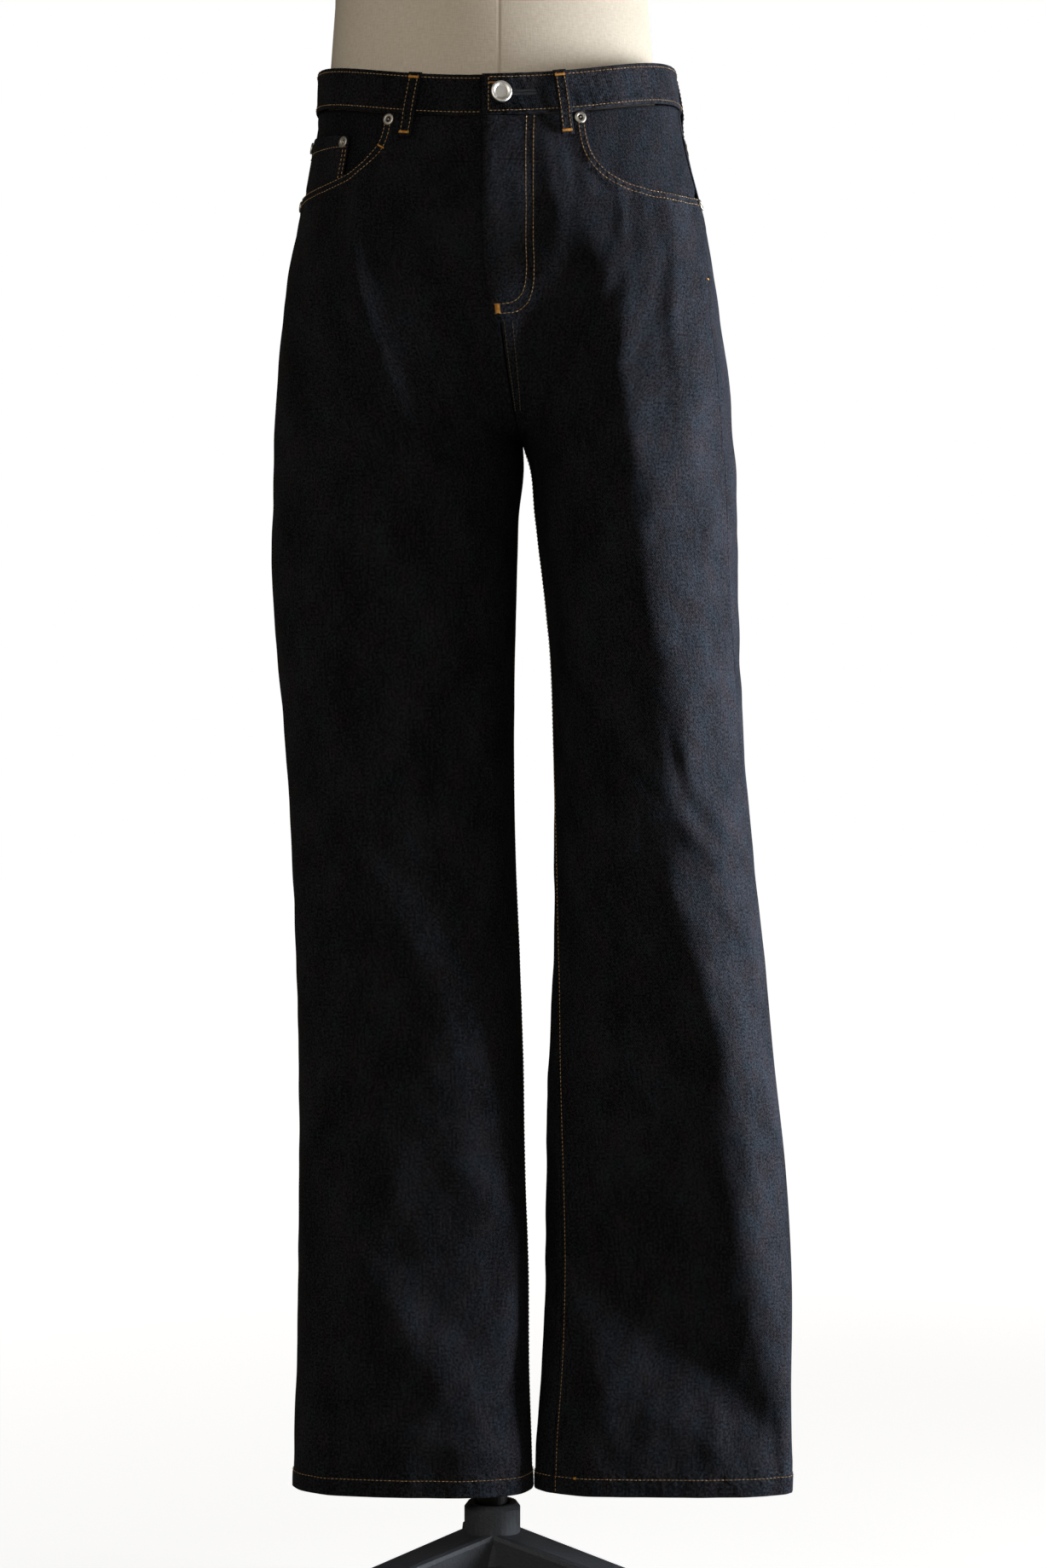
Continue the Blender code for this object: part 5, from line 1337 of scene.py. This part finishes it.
corners = np.array([(-FLOOR, -FLOOR, 0.0), (FLOOR, -FLOOR, 0.0), (FLOOR, FLOOR, 0.0), (-FLOOR, FLOOR, 0.0)])
floor = mesh_object("floor", corners, [[0, 1, 2, 3]], made)
floor.visible_diffuse = floor.visible_glossy = False
print("the floor is set, and the cloth's fill is", FILL)

# %% Lights and camera


def soft_light(name, stand, faced, size, power, colour):
    """A rectangle of light that stands round the torso's axis (azimuth 0 in front, 90 at the wearer's left) and
    faces a height on it."""
    azimuth, distance, height = stand
    angle = math.radians(azimuth)
    place = Vector(AXIS + (distance * math.sin(angle), -distance * math.cos(angle), height))
    data = bpy.data.lights.new(name, "AREA")
    data.shape, data.size, data.size_y = "RECTANGLE", *size
    data.energy, data.color = power, colour
    made = new_object(name, data)
    made.location = place
    made.rotation_euler = (Vector(AXIS + (0, 0, faced)) - place).to_track_quat("-Z", "Y").to_euler()
    return made


# Azimuth in degrees, distance and height of each light, the height it faces, its size, watts and colour
KEY = (90.5, 2.2, 0.80), 0.80, (0.60, 1.3), 12.5, (0.98, 1.0, 1.02)
CARD = (-14, 2.6, 1.45), 1.1, (0.6, 0.6), 22.0, (1.0, 0.93, 0.84)
KEY_SPREAD = math.radians(84.0)
key, card = soft_light("key", *KEY), soft_light("front_card", *CARD)
key.data.spread = KEY_SPREAD
card_lit = bpy.data.collections.new("lit_by_the_front_card")
for piece in scene.objects:
    of_thread = piece.name.startswith("stitches") and piece.name != "stitches_rise"
    if piece.get("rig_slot") not in (None, "raw_denim", "raw_denim_facing") or of_thread:
        card_lit.objects.link(piece)
for node in STAND_FINISHES:
    card_lit.objects.link(frame["nodes"][node])
card.light_linking.receiver_collection = card_lit
CAMERA_AZIMUTH, CAMERA_DISTANCE, CAMERA_HEIGHT, CAMERA_ASIDE = 4.0, 2.5, 0.73, 0.021
turn = math.radians(CAMERA_AZIMUTH)
forward = Vector((-math.sin(turn), math.cos(turn), 0.0))
lens = bpy.data.cameras.new("photograph")
lens.lens, lens.sensor_width, lens.sensor_height, lens.sensor_fit = 70.0, 36.0, 36.0, "VERTICAL"
camera = new_object("photograph", lens)
place = Vector(AXIS) + Vector((math.cos(turn), math.sin(turn), 0.0)) * CAMERA_ASIDE - forward * CAMERA_DISTANCE
camera.location = (place.x, place.y, CAMERA_HEIGHT)
camera.rotation_euler = forward.to_track_quat("-Z", "Y").to_euler()
scene.camera = camera
